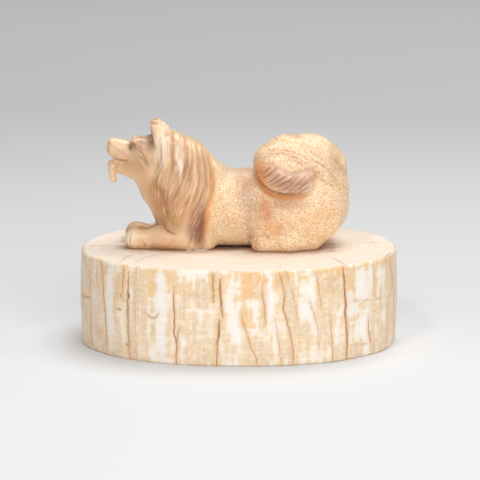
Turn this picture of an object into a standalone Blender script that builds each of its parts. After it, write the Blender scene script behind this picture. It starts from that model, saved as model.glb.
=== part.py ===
"""A carved dog crouching on an oval slab of old ivory, as two separate solids.

The dog is cut from one block, so its body is one field: soft masses joined
together, hollows taken away, and the skin laid where the field is zero. Hair
locks are then pressed into that skin along curved strokes. The slab is a
short length of tusk sawn square at both ends: a ring of points carried up
from the underside to the top.
"""

import math

import bpy
import numpy as np

MM = 0.001

# The slab
SLAB_LENGTH = 76.5 * MM
SLAB_DEPTH = 56.5 * MM
SLAB_HEIGHT = 22.8 * MM
SLAB_EDGE_ROUND = 0.6 * MM
SLAB_BARREL = 0.3 * MM
SLAB_OUTLINE_POWER = 2.16
SLAB_FLUTES = 13
SLAB_FLUTE_DEPTH = 0.25 * MM
SLAB_POINTS_ROUND = 104

# The dog, measured from nose to rump, and where it lies on the slab
DOG_LENGTH = 58.0 * MM
DOG_SET_BACK = 2.5 * MM
DOG_GAP = 0.3 * MM

# The carving is laid out in fifty-eighths of its own length, which are about a millimetre each
UNITS_LONG = 58.0
UNIT = DOG_LENGTH / UNITS_LONG
SKIN_STEP = 0.45
DOG_TRIANGLES = 8000

# The hair locks of the mane and the tail: how many, how deep and how wide each groove is, in units
MANE_GROOVES = 8
MANE_GROOVE_DEPTH = 0.75
MANE_GROOVE_WIDTH = 0.6
MANE_EDGE_DEPTH = 0.6
MANE_EDGE_WIDTH = 1.1
TAIL_GROOVES = 5
TAIL_GROOVE_DEPTH = 0.5
TAIL_GROOVE_WIDTH = 0.45
TOE_GROOVE_DEPTH = 0.55
TOE_GROOVE_WIDTH = 0.35


def ball(p, centre, radii, turn=0.0):
    """Distance to an ellipsoid; turn tips it in the side view, in degrees."""
    q = p - np.array(centre)
    if turn:
        c, s = math.cos(math.radians(turn)), math.sin(math.radians(turn))
        q = np.stack([c * q[:, 0] + s * q[:, 2], q[:, 1], c * q[:, 2] - s * q[:, 0]], axis=1)
    r = np.array(radii)
    out = np.sqrt(((q / r) ** 2).sum(axis=1)) + 1e-9
    slope = np.sqrt(((q / r**2) ** 2).sum(axis=1)) + 1e-9
    return out * (out - 1.0) / slope


def limb(p, stations, soft=0.7, flat=1.0):
    """Distance to a round limb through stations of (x, y, z, radius); flat narrows it sideways."""
    squeeze = np.array([1.0, 1.0 / flat, 1.0])
    q = p * squeeze
    found = None
    for first, second in zip(stations, stations[1:]):
        a, b = np.array(first[:3]) * squeeze, np.array(second[:3]) * squeeze
        along = np.clip((q - a) @ (b - a) / ((b - a) @ (b - a)), 0.0, 1.0)
        reach = np.sqrt(((q - a - along[:, None] * (b - a)) ** 2).sum(axis=1))
        piece = reach - (first[3] + along * (second[3] - first[3]))
        found = piece if found is None else join(found, piece, soft)
    return found * min(1.0, flat)


def join(a, b, soft):
    """Two masses as one, with a fillet about as wide as soft."""
    blend = np.clip(0.5 + 0.5 * (b - a) / soft, 0.0, 1.0)
    return b + (a - b) * blend - soft * blend * (1.0 - blend)


def cut(a, b, soft):
    """Mass b taken away from mass a, with the rim rounded by soft."""
    return -join(-a, b, soft)


def folded(p):
    """The far half laid over the near half, for what is the same on both sides."""
    return np.stack([p[:, 0], np.abs(p[:, 1]), p[:, 2]], axis=1)


def head(p):
    q = folded(p)
    skull = ball(q, (-22.2, 0.0, 22.4), (4.6, 4.0, 3.8))
    muzzle = limb(q, [(-25.6, 0.0, 21.9, 2.8), (-29.4, 0.0, 23.15, 2.45)], flat=0.85)
    whole = join(skull, muzzle, 1.0)
    whole = join(whole, ball(q, (-24.4, 1.9, 24.7), (1.6, 1.3, 1.3)), 0.7)
    whole = join(whole, ball(q, (-30.5, 0.0, 24.4), (1.15, 1.5, 1.3)), 0.4)
    jaw = limb(q, [(-28.6, 0.0, 18.3, 1.4), (-26.0, 0.0, 18.3, 2.2), (-22.0, 0.0, 18.0, 3.8)], flat=0.95)
    lips = limb(q, [(-28.4, 0.0, 20.2, 1.4), (-24.0, 0.0, 19.8, 3.2)], flat=0.9)
    whole = join(join(whole, jaw, 0.5), lips, 0.8)
    socket = ball(q, (-25.9, 3.3, 24.0), (1.5, 0.9, 0.9), 15.0)
    before_ear = ball(q, (-21.9, 4.6, 24.8), (1.3, 1.5, 2.2))
    return cut(cut(whole, socket, 0.5), before_ear, 0.6)


def tongue(p):
    path = [(-28.6, 0.0, 19.6, 1.1), (-30.3, 0.0, 19.1, 1.15), (-30.5, 0.0, 17.4, 0.85),
            (-30.3, 0.0, 15.8, 0.75), (-30.0, 0.0, 15.3, 0.6)]
    return limb(p, path, soft=0.5, flat=1.5)


def ears(p):
    q = folded(p)
    shell = limb(q, [(-17.6, 3.2, 22.6, 2.8), (-18.9, 3.4, 26.6, 2.35), (-19.9, 3.3, 28.75, 1.35)],
                 soft=0.4, flat=0.7)
    hollow = limb(q, [(-21.8, 2.7, 25.4, 1.3), (-22.0, 3.0, 29.0, 0.6)])
    return cut(shell, hollow, 0.3)


def mane(p):
    q = folded(p)
    ruff = limb(q, [(-17.4, 0.0, 22.2, 5.6), (-14.2, 0.0, 18.8, 7.2), (-13.4, 0.0, 13.0, 7.6),
                    (-13.4, 0.0, 8.2, 6.9), (-14.4, 0.0, 5.6, 4.9)], soft=1.5)
    throat = limb(q, [(-22.2, 0.0, 17.8, 3.8), (-19.3, 0.0, 13.1, 4.1), (-17.0, 0.0, 9.2, 3.9),
                      (-15.6, 0.0, 6.8, 3.7)], soft=1.5)
    nape = limb(q, [(-12.4, 0.0, 19.0, 5.4), (-6.9, 0.0, 13.7, 6.3)])
    behind_ear = limb(q, [(-18.2, 3.3, 26.0, 1.7), (-16.9, 4.2, 24.0, 2.4), (-16.4, 5.2, 20.5, 2.5),
                          (-17.6, 5.2, 15.5, 2.2)], soft=1.0)
    shoulder = limb(q, [(-11.6, 3.9, 10.0, 4.4), (-11.4, 4.8, 4.0, 3.4)])
    whole = join(join(ruff, throat, 1.5), nape, 1.5)
    return join(join(whole, behind_ear, 0.8), shoulder, 1.5)


def trunk(p):
    q = folded(p)
    barrel = limb(q, [(-9.0, 0.0, 9.7, 8.1), (2.0, 0.0, 9.8, 8.4), (12.0, 0.0, 10.0, 8.8)], flat=0.88)
    belly = limb(q, [(-8.0, 3.2, 3.5, 3.4), (5.0, 3.2, 3.5, 3.4)])
    rump = ball(q, (16.4, 0.0, 12.0), (10.1, 8.6, 11.4))
    return join(join(barrel, belly, 1.5), rump, 2.0)


def hind_legs(p):
    q = folded(p)
    thigh = ball(q, (15.6, 4.8, 9.0), (9.3, 5.3, 9.2))
    knee = ball(q, (5.4, 5.0, 7.0), (4.0, 3.8, 6.6))
    foot = limb(q, [(5.4, 7.4, 1.6, 2.6), (12.0, 7.4, 1.8, 2.8), (17.2, 5.6, 2.0, 2.8)])
    heel = ball(q, (20.4, 0.0, 8.6), (5.9, 6.5, 6.3))
    return join(join(join(thigh, knee, 0.8), foot, 0.8), heel, 0.8)


def forelegs(p):
    q = folded(p)
    arm = limb(q, [(-11.5, 5.5, 2.0, 3.1), (-17.8, 5.0, 2.5, 3.1), (-22.2, 4.6, 1.6, 2.3),
                   (-25.0, 4.1, 1.7, 2.6)])
    elbow = limb(q, [(-7.6, 4.6, 8.5, 3.0), (-8.0, 5.0, 1.6, 2.7)])
    far_wrist = ball(p, (-21.6, 4.8, 4.6), (1.8, 3.4, 1.3))
    return cut(join(arm, elbow, 0.8), far_wrist, 0.5)


def tail(p):
    plume = limb(p, [(22.2, 0.5, 14.0, 4.1), (20.5, 0.0, 18.7, 5.2), (16.0, -0.6, 21.1, 5.3),
                     (11.4, -1.8, 21.3, 5.3), (8.6, -3.4, 20.2, 5.0), (8.6, -5.4, 17.4, 4.3),
                     (12.4, -6.4, 16.4, 3.6), (15.4, -6.0, 17.0, 2.9)], soft=1.2)
    plume = join(plume, ball(p, (17.6, -0.4, 19.6), (6.8, 5.5, 6.9)), 1.0)
    return join(plume, ball(p, (14.2, -2.6, 19.0), (8.4, 5.8, 6.6)), 1.5)


def dog_field(p):
    """Below zero inside the dog, above zero outside, and about a distance near the skin."""
    front = join(head(p), mane(p), 1.0)
    front = join(front, ears(p), 0.4)
    front = join(front, tongue(p), 0.15)
    body = join(trunk(p), hind_legs(p), 1.0)
    body = join(body, tail(p), 0.6)
    whole = join(body, front, 0.5)
    whole = join(whole, forelegs(p), 0.8)
    return np.maximum(whole, -p[:, 2])


def mane_groove(share, ends):
    """One groove of the mane as (x, z) points; share runs from the throat (0) to the shoulder (1).

    It starts on the nape, swells back by an amount that grows towards the shoulder, and sweeps
    down to the chest.
    """
    t = np.linspace(*ends, 12)
    top = np.array([-17.8 + 9.6 * share, 28.6 - 3.4 * share])
    foot = np.array([-18.2 + 8.2 * share**2, 8.6 - 6.6 * share])
    swell = -1.4 + 8.7 * share - 4.1 * share**2
    return top + (foot - top) * t[:, None] + np.array([swell, 0.0]) * np.sin(math.pi * t[:, None])


def tail_groove(share):
    """One groove of the tail's tip as (x, z) points, rising to the right."""
    t = np.linspace(0.0, 1.0, 8)
    start = np.array([5.0 + 7.4 * share, 18.5 - 6.4 * share + 1.8 * share**2])
    reach = 3.9 + 1.2 * share
    return start + reach * np.stack([t, (0.4 + 0.2 * share) * t + 0.1 * t**2], axis=1)


def press(p, curve, depth, width):
    """How far each point is pushed in by a groove drawn on the side view, fading at its ends."""
    q = p[:, [0, 2]]
    amount = np.zeros(len(p))
    for k, (a, b) in enumerate(zip(curve, curve[1:])):
        along = np.clip((q - a) @ (b - a) / ((b - a) @ (b - a)), 0.0, 1.0)
        away = ((q - a - along[:, None] * (b - a)) ** 2).sum(axis=1)
        fade = np.sin(math.pi * np.clip((k + along) / (len(curve) - 1), 0.03, 0.97)) ** 0.5
        amount = np.maximum(amount, depth * fade * np.exp(-away / width**2))
    return amount


def grooves(p):
    """All grooves of the carving: mane locks on both sides, the tail's tip, and the toes."""
    depth = np.zeros(len(p))
    for k in range(MANE_GROOVES):
        share = (k + 0.5) / MANE_GROOVES
        curve = mane_groove(share, (0.06 + 0.05 * (k % 2), 0.97 - 0.08 * (k % 3)))
        depth = np.maximum(depth, press(p, curve, MANE_GROOVE_DEPTH, MANE_GROOVE_WIDTH))
    depth = np.maximum(depth, press(p, mane_groove(1.12, (0.1, 0.8)), MANE_EDGE_DEPTH, MANE_EDGE_WIDTH))
    depth *= np.clip(np.abs(p[:, 1]) / 1.5, 0.0, 1.0)
    on_tail = np.clip((-5.0 - p[:, 1]) / 1.5, 0.0, 1.0)
    for k in range(TAIL_GROOVES):
        curve = tail_groove((k + 0.5) / TAIL_GROOVES)
        depth = np.maximum(depth, on_tail * press(p, curve, TAIL_GROOVE_DEPTH, TAIL_GROOVE_WIDTH))
    q = folded(p)
    at_paw = np.clip((-25.2 - q[:, 0]) / 1.0, 0.0, 1.0) * (q[:, 2] < 6.0)
    at_foot = np.clip((5.0 - q[:, 0]) / 1.0, 0.0, 1.0) * (q[:, 2] < 3.6) * (q[:, 1] > 5.2) * (q[:, 0] > 0.0)
    for middle, here in ((3.9, at_paw), (7.6, at_foot)):
        for offset in (-0.75, 0.75):
            toe = TOE_GROOVE_DEPTH * np.exp(-(((q[:, 1] - middle - offset) / TOE_GROOVE_WIDTH) ** 2))
            depth = np.maximum(depth, here * toe)
    return depth


def skin(field, low, high, step):
    """Surface nets: a point in each grid cell that the zero level crosses, and a quad for each
    grid edge that it crosses, joining the points of the four cells round that edge."""
    sides = [np.arange(a, b + step, step) for a, b in zip(low, high)]
    grid = np.stack(np.meshgrid(*sides, indexing="ij"), axis=-1)
    value = field(grid.reshape(-1, 3)).reshape(grid.shape[:3])
    cells = tuple(n - 1 for n in value.shape)
    total, hits = np.zeros((*cells, 3)), np.zeros(cells)
    quads = []
    for axis in range(3):
        one, two = (axis + 1) % 3, (axis + 2) % 3
        span = [slice(None)] * 3
        span[axis] = slice(0, -1)
        a, start = value[tuple(span)], grid[tuple(span)]
        span[axis] = slice(1, None)
        b = value[tuple(span)]
        crossed = (a < 0) != (b < 0)
        share = np.where(crossed, a / np.where(crossed, a - b, 1.0), 0.0)
        point = start.copy()
        point[..., axis] += share * step
        edge = np.argwhere(crossed)
        inner = ((edge[:, [one, two]] > 0) & (edge[:, [one, two]] < np.array(cells)[[one, two]])).all(axis=1)
        edge = edge[inner]
        where = point[tuple(edge.T)]
        ring = []
        for back_one, back_two in ((1, 1), (0, 1), (0, 0), (1, 0)):
            cell = edge.copy()
            cell[:, one] -= back_one
            cell[:, two] -= back_two
            np.add.at(total, tuple(cell.T), where)
            np.add.at(hits, tuple(cell.T), 1)
            ring.append(np.ravel_multi_index(tuple(cell.T), cells))
        ring = np.stack(ring, axis=1)
        rising = a[tuple(edge.T)] < 0
        quads.append(np.where(rising[:, None], ring, ring[:, ::-1]))
    used = hits.ravel() > 0
    number = np.cumsum(used) - 1
    points = total.reshape(-1, 3)[used] / hits.ravel()[used][:, None]
    return points, number[np.concatenate(quads)]


def slope_of(field, points, reach=0.02):
    """The field's gradient, by central differences."""
    steps = np.eye(3) * reach
    return np.stack([field(points + s) - field(points - s) for s in steps], axis=1) / (2 * reach)


def settle(field, points, rounds=3):
    """Moves points along the gradient onto the zero level."""
    for _ in range(rounds):
        slope = slope_of(field, points)
        size = (slope**2).sum(axis=1) + 1e-6
        points = points - np.clip(field(points), -0.3, 0.3)[:, None] * slope / size[:, None]
    return points


def material(name, colour, roughness):
    made = bpy.data.materials.new(name)
    made.use_nodes = True
    shader = made.node_tree.nodes["Principled BSDF"]
    shader.inputs["Base Color"].default_value = (*colour, 1.0)
    shader.inputs["Roughness"].default_value = roughness
    shader.inputs["Metallic"].default_value = 0.0
    return made


def piece(name, points, faces, finish, place=(0.0, 0.0, 0.0)):
    mesh = bpy.data.meshes.new(name)
    mesh.from_pydata([tuple(v) for v in points], [], [tuple(f) for f in faces])
    mesh.validate()
    made = bpy.data.objects.new(name, mesh)
    made.location = place
    made.data.materials.append(finish)
    bpy.context.scene.collection.objects.link(made)
    return made


def make_dog():
    low, high = (-33.5, -12.5, -1.2), (28.5, 12.5, 32.0)
    points, faces = skin(dog_field, low, high, SKIN_STEP)
    points = settle(dog_field, points)
    outward = slope_of(dog_field, points)
    outward /= np.sqrt((outward**2).sum(axis=1, keepdims=True)) + 1e-9
    points = points - outward * grooves(points)[:, None] * (points[:, 2:] > 0.05)
    made = piece("dog", points * UNIT, faces, material("walrus_ivory", (0.80, 0.58, 0.36), 0.45),
                 (0.0, DOG_SET_BACK, SLAB_HEIGHT + DOG_GAP))
    thin = made.modifiers.new("Fewer faces", "DECIMATE")
    thin.ratio = min(1.0, DOG_TRIANGLES / (2.0 * len(faces)))
    made.data.shade_smooth()
    return made


def slab_outline():
    """The slab seen from above, as unit directions scaled to half its length and half its depth."""
    turn = np.linspace(0.0, 2.0 * math.pi, SLAB_POINTS_ROUND, endpoint=False)
    c, s = np.cos(turn), np.sin(turn)
    power = 2.0 / SLAB_OUTLINE_POWER
    waves = np.cos(SLAB_FLUTES * turn) + np.cos(7 * turn + 1.9) + np.sin(4 * turn)
    flute = SLAB_FLUTE_DEPTH / SLAB_LENGTH * waves
    x = (1.0 + flute) * np.sign(c) * np.abs(c) ** power
    y = (1.0 + flute) * np.sign(s) * np.abs(s) ** power
    x = (x - x.min()) / (x.max() - x.min()) - 0.5
    y = (y - y.min()) / (y.max() - y.min()) - 0.5
    return np.stack([x, y], axis=1)


def make_slab():
    flat = SLAB_HEIGHT - 2 * SLAB_EDGE_ROUND
    levels = []
    for k in range(3):
        turn = math.pi / 4 * k
        levels.append((SLAB_EDGE_ROUND * (1 - math.sin(turn)), SLAB_EDGE_ROUND * (1 - math.cos(turn))))
    levels += [(0.0, SLAB_EDGE_ROUND + flat * share) for share in (0.3, 0.5, 0.7)]
    levels += [(inset, SLAB_HEIGHT - height) for inset, height in reversed(levels[:3])]
    outline, rings = slab_outline(), []
    for inset, height in levels:
        sag = SLAB_BARREL * (2 * height / SLAB_HEIGHT - 1) ** 2
        size = np.array([SLAB_LENGTH, SLAB_DEPTH]) - 2 * (inset + sag)
        rings.append(np.column_stack([outline * size, np.full(len(outline), height)]))
    points = np.concatenate(rings)
    n = SLAB_POINTS_ROUND
    faces = [tuple(range(n - 1, -1, -1)), tuple((len(rings) - 1) * n + i for i in range(n))]
    for k in range(len(rings) - 1):
        for i in range(n):
            j = (i + 1) % n
            faces.append((k * n + i, k * n + j, (k + 1) * n + j, (k + 1) * n + i))
    made = piece("slab", points, faces, material("fossil_ivory", (0.86, 0.78, 0.66), 0.5))
    made.data.shade_smooth()
    made.data.set_sharp_from_angle(angle=math.radians(50.0))
    return made


for old in list(bpy.data.objects):
    bpy.data.objects.remove(old)
make_slab()
make_dog()
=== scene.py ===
# %% [markdown]
# # A carved dog on a slab of tusk
#
# The real object is 76 mm long: a long-haired dog carved from one block of walrus ivory, glued
# to an oval slice of fossil tusk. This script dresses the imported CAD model. The dog and the slab
# are each made again as one finer surface in the same place, with the knife strokes, the cracks
# and the colours that the solids leave out.

# %% Load the frame
import math

import bpy
import numpy as np
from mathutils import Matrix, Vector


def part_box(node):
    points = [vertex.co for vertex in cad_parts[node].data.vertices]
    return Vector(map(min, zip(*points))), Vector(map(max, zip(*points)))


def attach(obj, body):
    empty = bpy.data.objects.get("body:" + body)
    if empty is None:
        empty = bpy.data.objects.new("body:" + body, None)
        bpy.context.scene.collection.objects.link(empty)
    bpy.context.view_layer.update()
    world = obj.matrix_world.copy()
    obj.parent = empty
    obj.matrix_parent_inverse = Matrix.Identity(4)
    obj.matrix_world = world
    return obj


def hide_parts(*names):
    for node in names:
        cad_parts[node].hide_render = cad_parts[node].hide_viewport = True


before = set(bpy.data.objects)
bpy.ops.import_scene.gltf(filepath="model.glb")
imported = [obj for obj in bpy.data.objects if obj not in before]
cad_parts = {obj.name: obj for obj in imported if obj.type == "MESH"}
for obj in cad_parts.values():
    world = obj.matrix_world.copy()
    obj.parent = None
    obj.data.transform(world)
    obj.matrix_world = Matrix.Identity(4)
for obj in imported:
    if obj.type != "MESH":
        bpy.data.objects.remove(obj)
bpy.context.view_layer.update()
print("frame nodes:", sorted(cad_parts))

# %% [markdown]
# ## Sizes
#
# Everything is worked out in millimetres, because the carving is small, and turned to metres
# when a mesh is made. The slab's box comes from the frame. The dog is laid out from the middle of
# its own footprint: nose at -X, near side at -Y, and zero height just above the slab's top, with
# room for the glue between them.

# %% Sizes in millimetres
MM = 0.001
slab_low, slab_high = (np.array(corner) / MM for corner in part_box("slab"))
SLAB_LENGTH, SLAB_DEPTH, SLAB_HEIGHT = slab_high - slab_low
DOG_SET_BACK = 2.5  # the dog's middle lies this far behind the slab's
DOG_LIFT = 0.3  # the dog's zero height, above the slab's top
DOG_SINK = 0.27  # the flat underside, below the dog's zero height
SKIN_STEP = 0.27  # the cell of the grid on which the dog's skin is found
print("slab", np.round([SLAB_LENGTH, SLAB_DEPTH, SLAB_HEIGHT], 2), "mm")

# %% [markdown]
# ## Soft masses
#
# A carver roughs out round masses first and runs them into each other. A signed field does the
# same: each mass is a function that is below zero inside and above zero outside, and a smooth
# minimum joins two of them with a fillet. Ellipsoids and tapering limbs are enough for a dog.
# Metaballs would be quicker to set up, but they can't be cut away or made this thin at an ear.

# %% Field helpers
def ball(p, centre, radii, turn=0.0):
    """Ellipsoid: length of p over the radii, less one, put back to about a distance."""
    q = p - np.array(centre)
    if turn:
        c, s = math.cos(math.radians(turn)), math.sin(math.radians(turn))
        q = np.stack([c * q[:, 0] + s * q[:, 2], q[:, 1], c * q[:, 2] - s * q[:, 0]], axis=1)
    r = np.array(radii)
    out = np.sqrt(((q / r) ** 2).sum(axis=1)) + 1e-9
    slope = np.sqrt(((q / r**2) ** 2).sum(axis=1)) + 1e-9
    return out * (out - 1.0) / slope


def join(a, b, soft):
    """Smooth minimum: the lower of a and b, and less still where they are within soft."""
    blend = np.clip(0.5 + 0.5 * (b - a) / soft, 0.0, 1.0)
    return b + (a - b) * blend - soft * blend * (1.0 - blend)


def cut(a, b, soft):
    """Mass b taken out of mass a."""
    return -join(-a, b, soft)


def limb(p, stations, soft=0.7, flat=1.0):
    """Distance to a chain of segments, less a radius that runs evenly between stations."""
    squeeze = np.array([1.0, 1.0 / flat, 1.0])
    q, found = p * squeeze, None
    for first, second in zip(stations, stations[1:]):
        a, b = np.array(first[:3]) * squeeze, np.array(second[:3]) * squeeze
        along = np.clip((q - a) @ (b - a) / ((b - a) @ (b - a)), 0.0, 1.0)
        reach = np.sqrt(((q - a - along[:, None] * (b - a)) ** 2).sum(axis=1))
        part = reach - (first[3] + along * (second[3] - first[3]))
        found = part if found is None else join(found, part, soft)
    return found * min(1.0, flat)


def folded(p):
    """Both sides laid on one, for what is the same left and right."""
    return np.stack([p[:, 0], np.abs(p[:, 1]), p[:, 2]], axis=1)


# %% [markdown]
# ## The dog's masses
#
# Each part of the dog is a few masses, placed against the photograph and kept at the same places as
# in the CAD solid: skull, muzzle, jaw, ears with a hollow in front, a ruff round the neck, a barrel
# for the trunk, thighs, feet, and a thick tail curled over to the near side.

# %% Head, tongue and ears
def head(p):
    q = folded(p)
    skull = ball(q, (-22.2, 0.0, 22.4), (4.6, 4.0, 3.8))
    muzzle = limb(q, [(-25.6, 0.0, 21.9, 2.8), (-29.4, 0.0, 23.15, 2.45)], flat=0.85)
    whole = join(skull, muzzle, 1.0)
    whole = join(whole, ball(q, (-24.4, 1.9, 24.7), (1.6, 1.3, 1.3)), 0.7)
    whole = join(whole, ball(q, (-30.5, 0.0, 24.4), (1.15, 1.5, 1.3)), 0.4)
    jaw = limb(q, [(-28.6, 0.0, 18.3, 1.4), (-26.0, 0.0, 18.3, 2.2), (-22.0, 0.0, 18.0, 3.8)],
               flat=0.95)
    lips = limb(q, [(-28.4, 0.0, 20.2, 1.4), (-24.0, 0.0, 19.8, 3.2)], flat=0.9)
    whole = join(join(whole, jaw, 0.5), lips, 0.8)
    socket = ball(q, (-25.9, 3.3, 24.0), (1.5, 0.9, 0.9), 15.0)
    before_ear = ball(q, (-21.9, 4.6, 24.8), (1.3, 1.5, 2.2))
    return cut(cut(whole, socket, 0.5), before_ear, 0.6)


def tongue(p):
    path = [(-28.6, 0.0, 19.6, 1.1), (-30.3, 0.0, 19.1, 1.15), (-30.5, 0.0, 17.4, 0.85),
            (-30.3, 0.0, 15.8, 0.75), (-30.0, 0.0, 15.3, 0.6)]
    return limb(p, path, soft=0.5, flat=1.5)


def ears(p):
    q = folded(p)
    shell = limb(q, [(-17.6, 3.2, 22.6, 2.8), (-18.9, 3.4, 26.6, 2.35), (-19.9, 3.3, 28.75, 1.35)],
                 soft=0.4, flat=0.7)
    hollow = limb(q, [(-21.8, 2.7, 25.4, 1.3), (-22.0, 3.0, 29.0, 0.6)])
    return cut(shell, hollow, 0.3)


# %% Mane, trunk, legs and tail
def mane(p):
    q = folded(p)
    ruff = limb(q, [(-17.4, 0.0, 22.2, 5.6), (-14.2, 0.0, 18.8, 7.2), (-13.4, 0.0, 13.0, 7.6),
                    (-13.4, 0.0, 8.2, 6.9), (-14.4, 0.0, 5.6, 4.9)], soft=1.5)
    throat = limb(q, [(-22.2, 0.0, 17.8, 3.8), (-19.3, 0.0, 13.1, 4.1), (-17.0, 0.0, 9.2, 3.9),
                      (-15.6, 0.0, 6.8, 3.7)], soft=1.5)
    nape = limb(q, [(-12.4, 0.0, 19.0, 5.4), (-6.9, 0.0, 13.7, 6.3)])
    behind_ear = limb(q, [(-18.2, 3.3, 26.0, 1.7), (-16.9, 4.2, 24.0, 2.4), (-16.4, 5.2, 20.5, 2.5),
                          (-17.6, 5.2, 15.5, 2.2)], soft=1.0)
    shoulder = limb(q, [(-11.6, 3.9, 10.0, 4.4), (-11.4, 4.8, 4.0, 3.4)])
    whole = join(join(ruff, throat, 1.5), nape, 1.5)
    return join(join(whole, behind_ear, 0.8), shoulder, 1.5)


def trunk(p):
    q = folded(p)
    barrel = limb(q, [(-9.0, 0.0, 9.7, 8.1), (2.0, 0.0, 9.8, 8.4), (12.0, 0.0, 10.0, 8.8)],
                  flat=0.88)
    belly = limb(q, [(-8.0, 3.2, 3.5, 3.4), (5.0, 3.2, 3.5, 3.4)])
    rump = ball(q, (16.4, 0.0, 12.0), (10.1, 8.6, 11.4))
    return join(join(barrel, belly, 1.5), rump, 2.0)


def hind_legs(p):
    q = folded(p)
    thigh = ball(q, (15.6, 4.8, 9.0), (9.3, 5.3, 9.2))
    knee = ball(q, (5.4, 5.0, 7.0), (4.0, 3.8, 6.6))
    foot = limb(q, [(5.4, 7.4, 1.6, 2.6), (12.0, 7.4, 1.8, 2.8), (17.2, 5.6, 2.0, 2.8)])
    heel = ball(q, (20.4, 0.0, 8.6), (5.9, 6.5, 6.3))
    return join(join(join(thigh, knee, 0.8), foot, 0.8), heel, 0.8)


def forelegs(p):
    q = folded(p)
    arm = limb(q, [(-11.5, 5.5, 2.0, 3.1), (-17.8, 5.0, 2.5, 3.1), (-22.2, 4.6, 1.6, 2.3),
                   (-25.0, 4.1, 1.7, 2.6)])
    elbow = limb(q, [(-7.6, 4.6, 8.5, 3.0), (-8.0, 5.0, 1.6, 2.7)])
    far_wrist = ball(p, (-21.6, 4.8, 4.6), (1.8, 3.4, 1.3))
    return cut(join(arm, elbow, 0.8), far_wrist, 0.5)


def tail(p):
    plume = limb(p, [(22.2, 0.5, 14.0, 4.1), (20.5, 0.0, 18.7, 5.2), (16.0, -0.6, 21.1, 5.3),
                     (11.4, -1.8, 21.3, 5.3), (8.6, -3.4, 20.2, 5.0), (8.6, -5.4, 17.4, 4.3),
                     (12.4, -6.4, 16.4, 3.6), (15.4, -6.0, 17.0, 2.9)], soft=1.2)
    plume = join(plume, ball(p, (17.6, -0.4, 19.6), (6.8, 5.5, 6.9)), 1.0)
    return join(plume, ball(p, (14.2, -2.6, 19.0), (8.4, 5.8, 6.6)), 1.5)


def eyes(p):
    """Small almond beads, tipped down towards the nose."""
    return ball(folded(p), (-25.85, 2.75, 24.0), (0.5, 0.42, 0.36), 40.0)


def dog_field(p):
    """The whole dog: every mass joined, and the underside cut flat."""
    front = join(head(p), mane(p), 1.0)
    front = join(front, ears(p), 0.4)
    front = join(join(front, tongue(p), 0.15), eyes(p), 0.08)
    body = join(trunk(p), hind_legs(p), 1.0)
    body = join(body, tail(p), 0.6)
    whole = join(join(body, front, 0.5), forelegs(p), 0.8)
    return np.maximum(whole, -p[:, 2] - DOG_SINK)


# %% [markdown]
# ## From field to skin
#
# Surface nets turn the field into a mesh: every cell of a fine grid that the zero level crosses
# gets one point, and every crossed grid edge gets a quad. The points are then moved along the
# field's slope until they lie on the zero level, which takes out the grid's steps. Sculpting on a
# subdivided cube would give a similar skin, but not one that a formula can change.

# %% Surface nets
def skin(field, low, high, step):
    """A point in each crossed cell, at the mean of its crossings; a quad per crossed edge."""
    sides = [np.arange(a, b + step, step) for a, b in zip(low, high)]
    value = np.empty([len(side) for side in sides])
    for i, x in enumerate(sides[0]):
        sheet = np.stack(np.meshgrid([x], sides[1], sides[2], indexing="ij"), axis=-1)
        value[i] = field(sheet.reshape(-1, 3)).reshape(value.shape[1:])
    cells = tuple(n - 1 for n in value.shape)
    total, hits, quads = np.zeros((np.prod(cells), 3)), np.zeros(np.prod(cells)), []
    for axis in range(3):
        one, two = (axis + 1) % 3, (axis + 2) % 3
        a = np.take(value, range(value.shape[axis] - 1), axis)
        b = np.take(value, range(1, value.shape[axis]), axis)
        edge = np.argwhere((a < 0) != (b < 0))
        a, b = a[tuple(edge.T)], b[tuple(edge.T)]
        where = np.stack([sides[k][edge[:, k]] for k in range(3)], axis=1)
        where[:, axis] += step * a / (a - b)
        ring = []
        for back_one, back_two in ((1, 1), (0, 1), (0, 0), (1, 0)):
            cell = edge.copy()
            cell[:, one] -= back_one
            cell[:, two] -= back_two
            number = np.ravel_multi_index(tuple(cell.T), cells)
            np.add.at(total, number, where)
            np.add.at(hits, number, 1)
            ring.append(number)
        ring = np.stack(ring, axis=1)
        quads.append(np.where((a < 0)[:, None], ring, ring[:, ::-1]))
    used = hits > 0
    return total[used] / hits[used, None], (np.cumsum(used) - 1)[np.concatenate(quads)]


def slope_of(field, points, reach=0.02):
    """The field's slope at each point, from differences along the three axes."""
    steps = np.eye(3) * reach
    return np.stack([field(points + s) - field(points - s) for s in steps], axis=1) / (2 * reach)


def settle(field, points, rounds=2):
    """Newton steps along the slope, onto the zero level."""
    for _ in range(rounds):
        slope = slope_of(field, points)
        size = (slope**2).sum(axis=1) + 1e-6
        points = points - np.clip(field(points), -0.2, 0.2)[:, None] * slope / size[:, None]
    return points


DOG_LOW, DOG_HIGH = (-33.0, -12.0, -0.8), (28.0, 12.0, 31.5)
dog_points, dog_quads = skin(dog_field, DOG_LOW, DOG_HIGH, SKIN_STEP)
dog_points = settle(dog_field, dog_points)
x, y, z = dog_points.T
dog_out = slope_of(dog_field, dog_points)
dog_out /= np.linalg.norm(dog_out, axis=1, keepdims=True) + 1e-9
print("skin:", len(dog_points), "points,", 2 * len(dog_quads), "triangles")

# %% [markdown]
# ## Knife strokes
#
# The hair is cut as grooves that follow a few families of curves, drawn on the side view: long
# S-shaped locks down the mane, low arches over the tail, short slanting cuts on its polished tip.
# A point is pushed in by a bell-shaped amount that depends on its distance to the nearest curve.
# A bump map would be less work, but these grooves are up to 0.75 mm deep and show in outline.

# %% Stroke helpers
def smooth(t):
    """0 below 0, 1 above 1, an even S between."""
    t = np.clip(t, 0.0, 1.0)
    return t * t * (3.0 - 2.0 * t)


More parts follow.
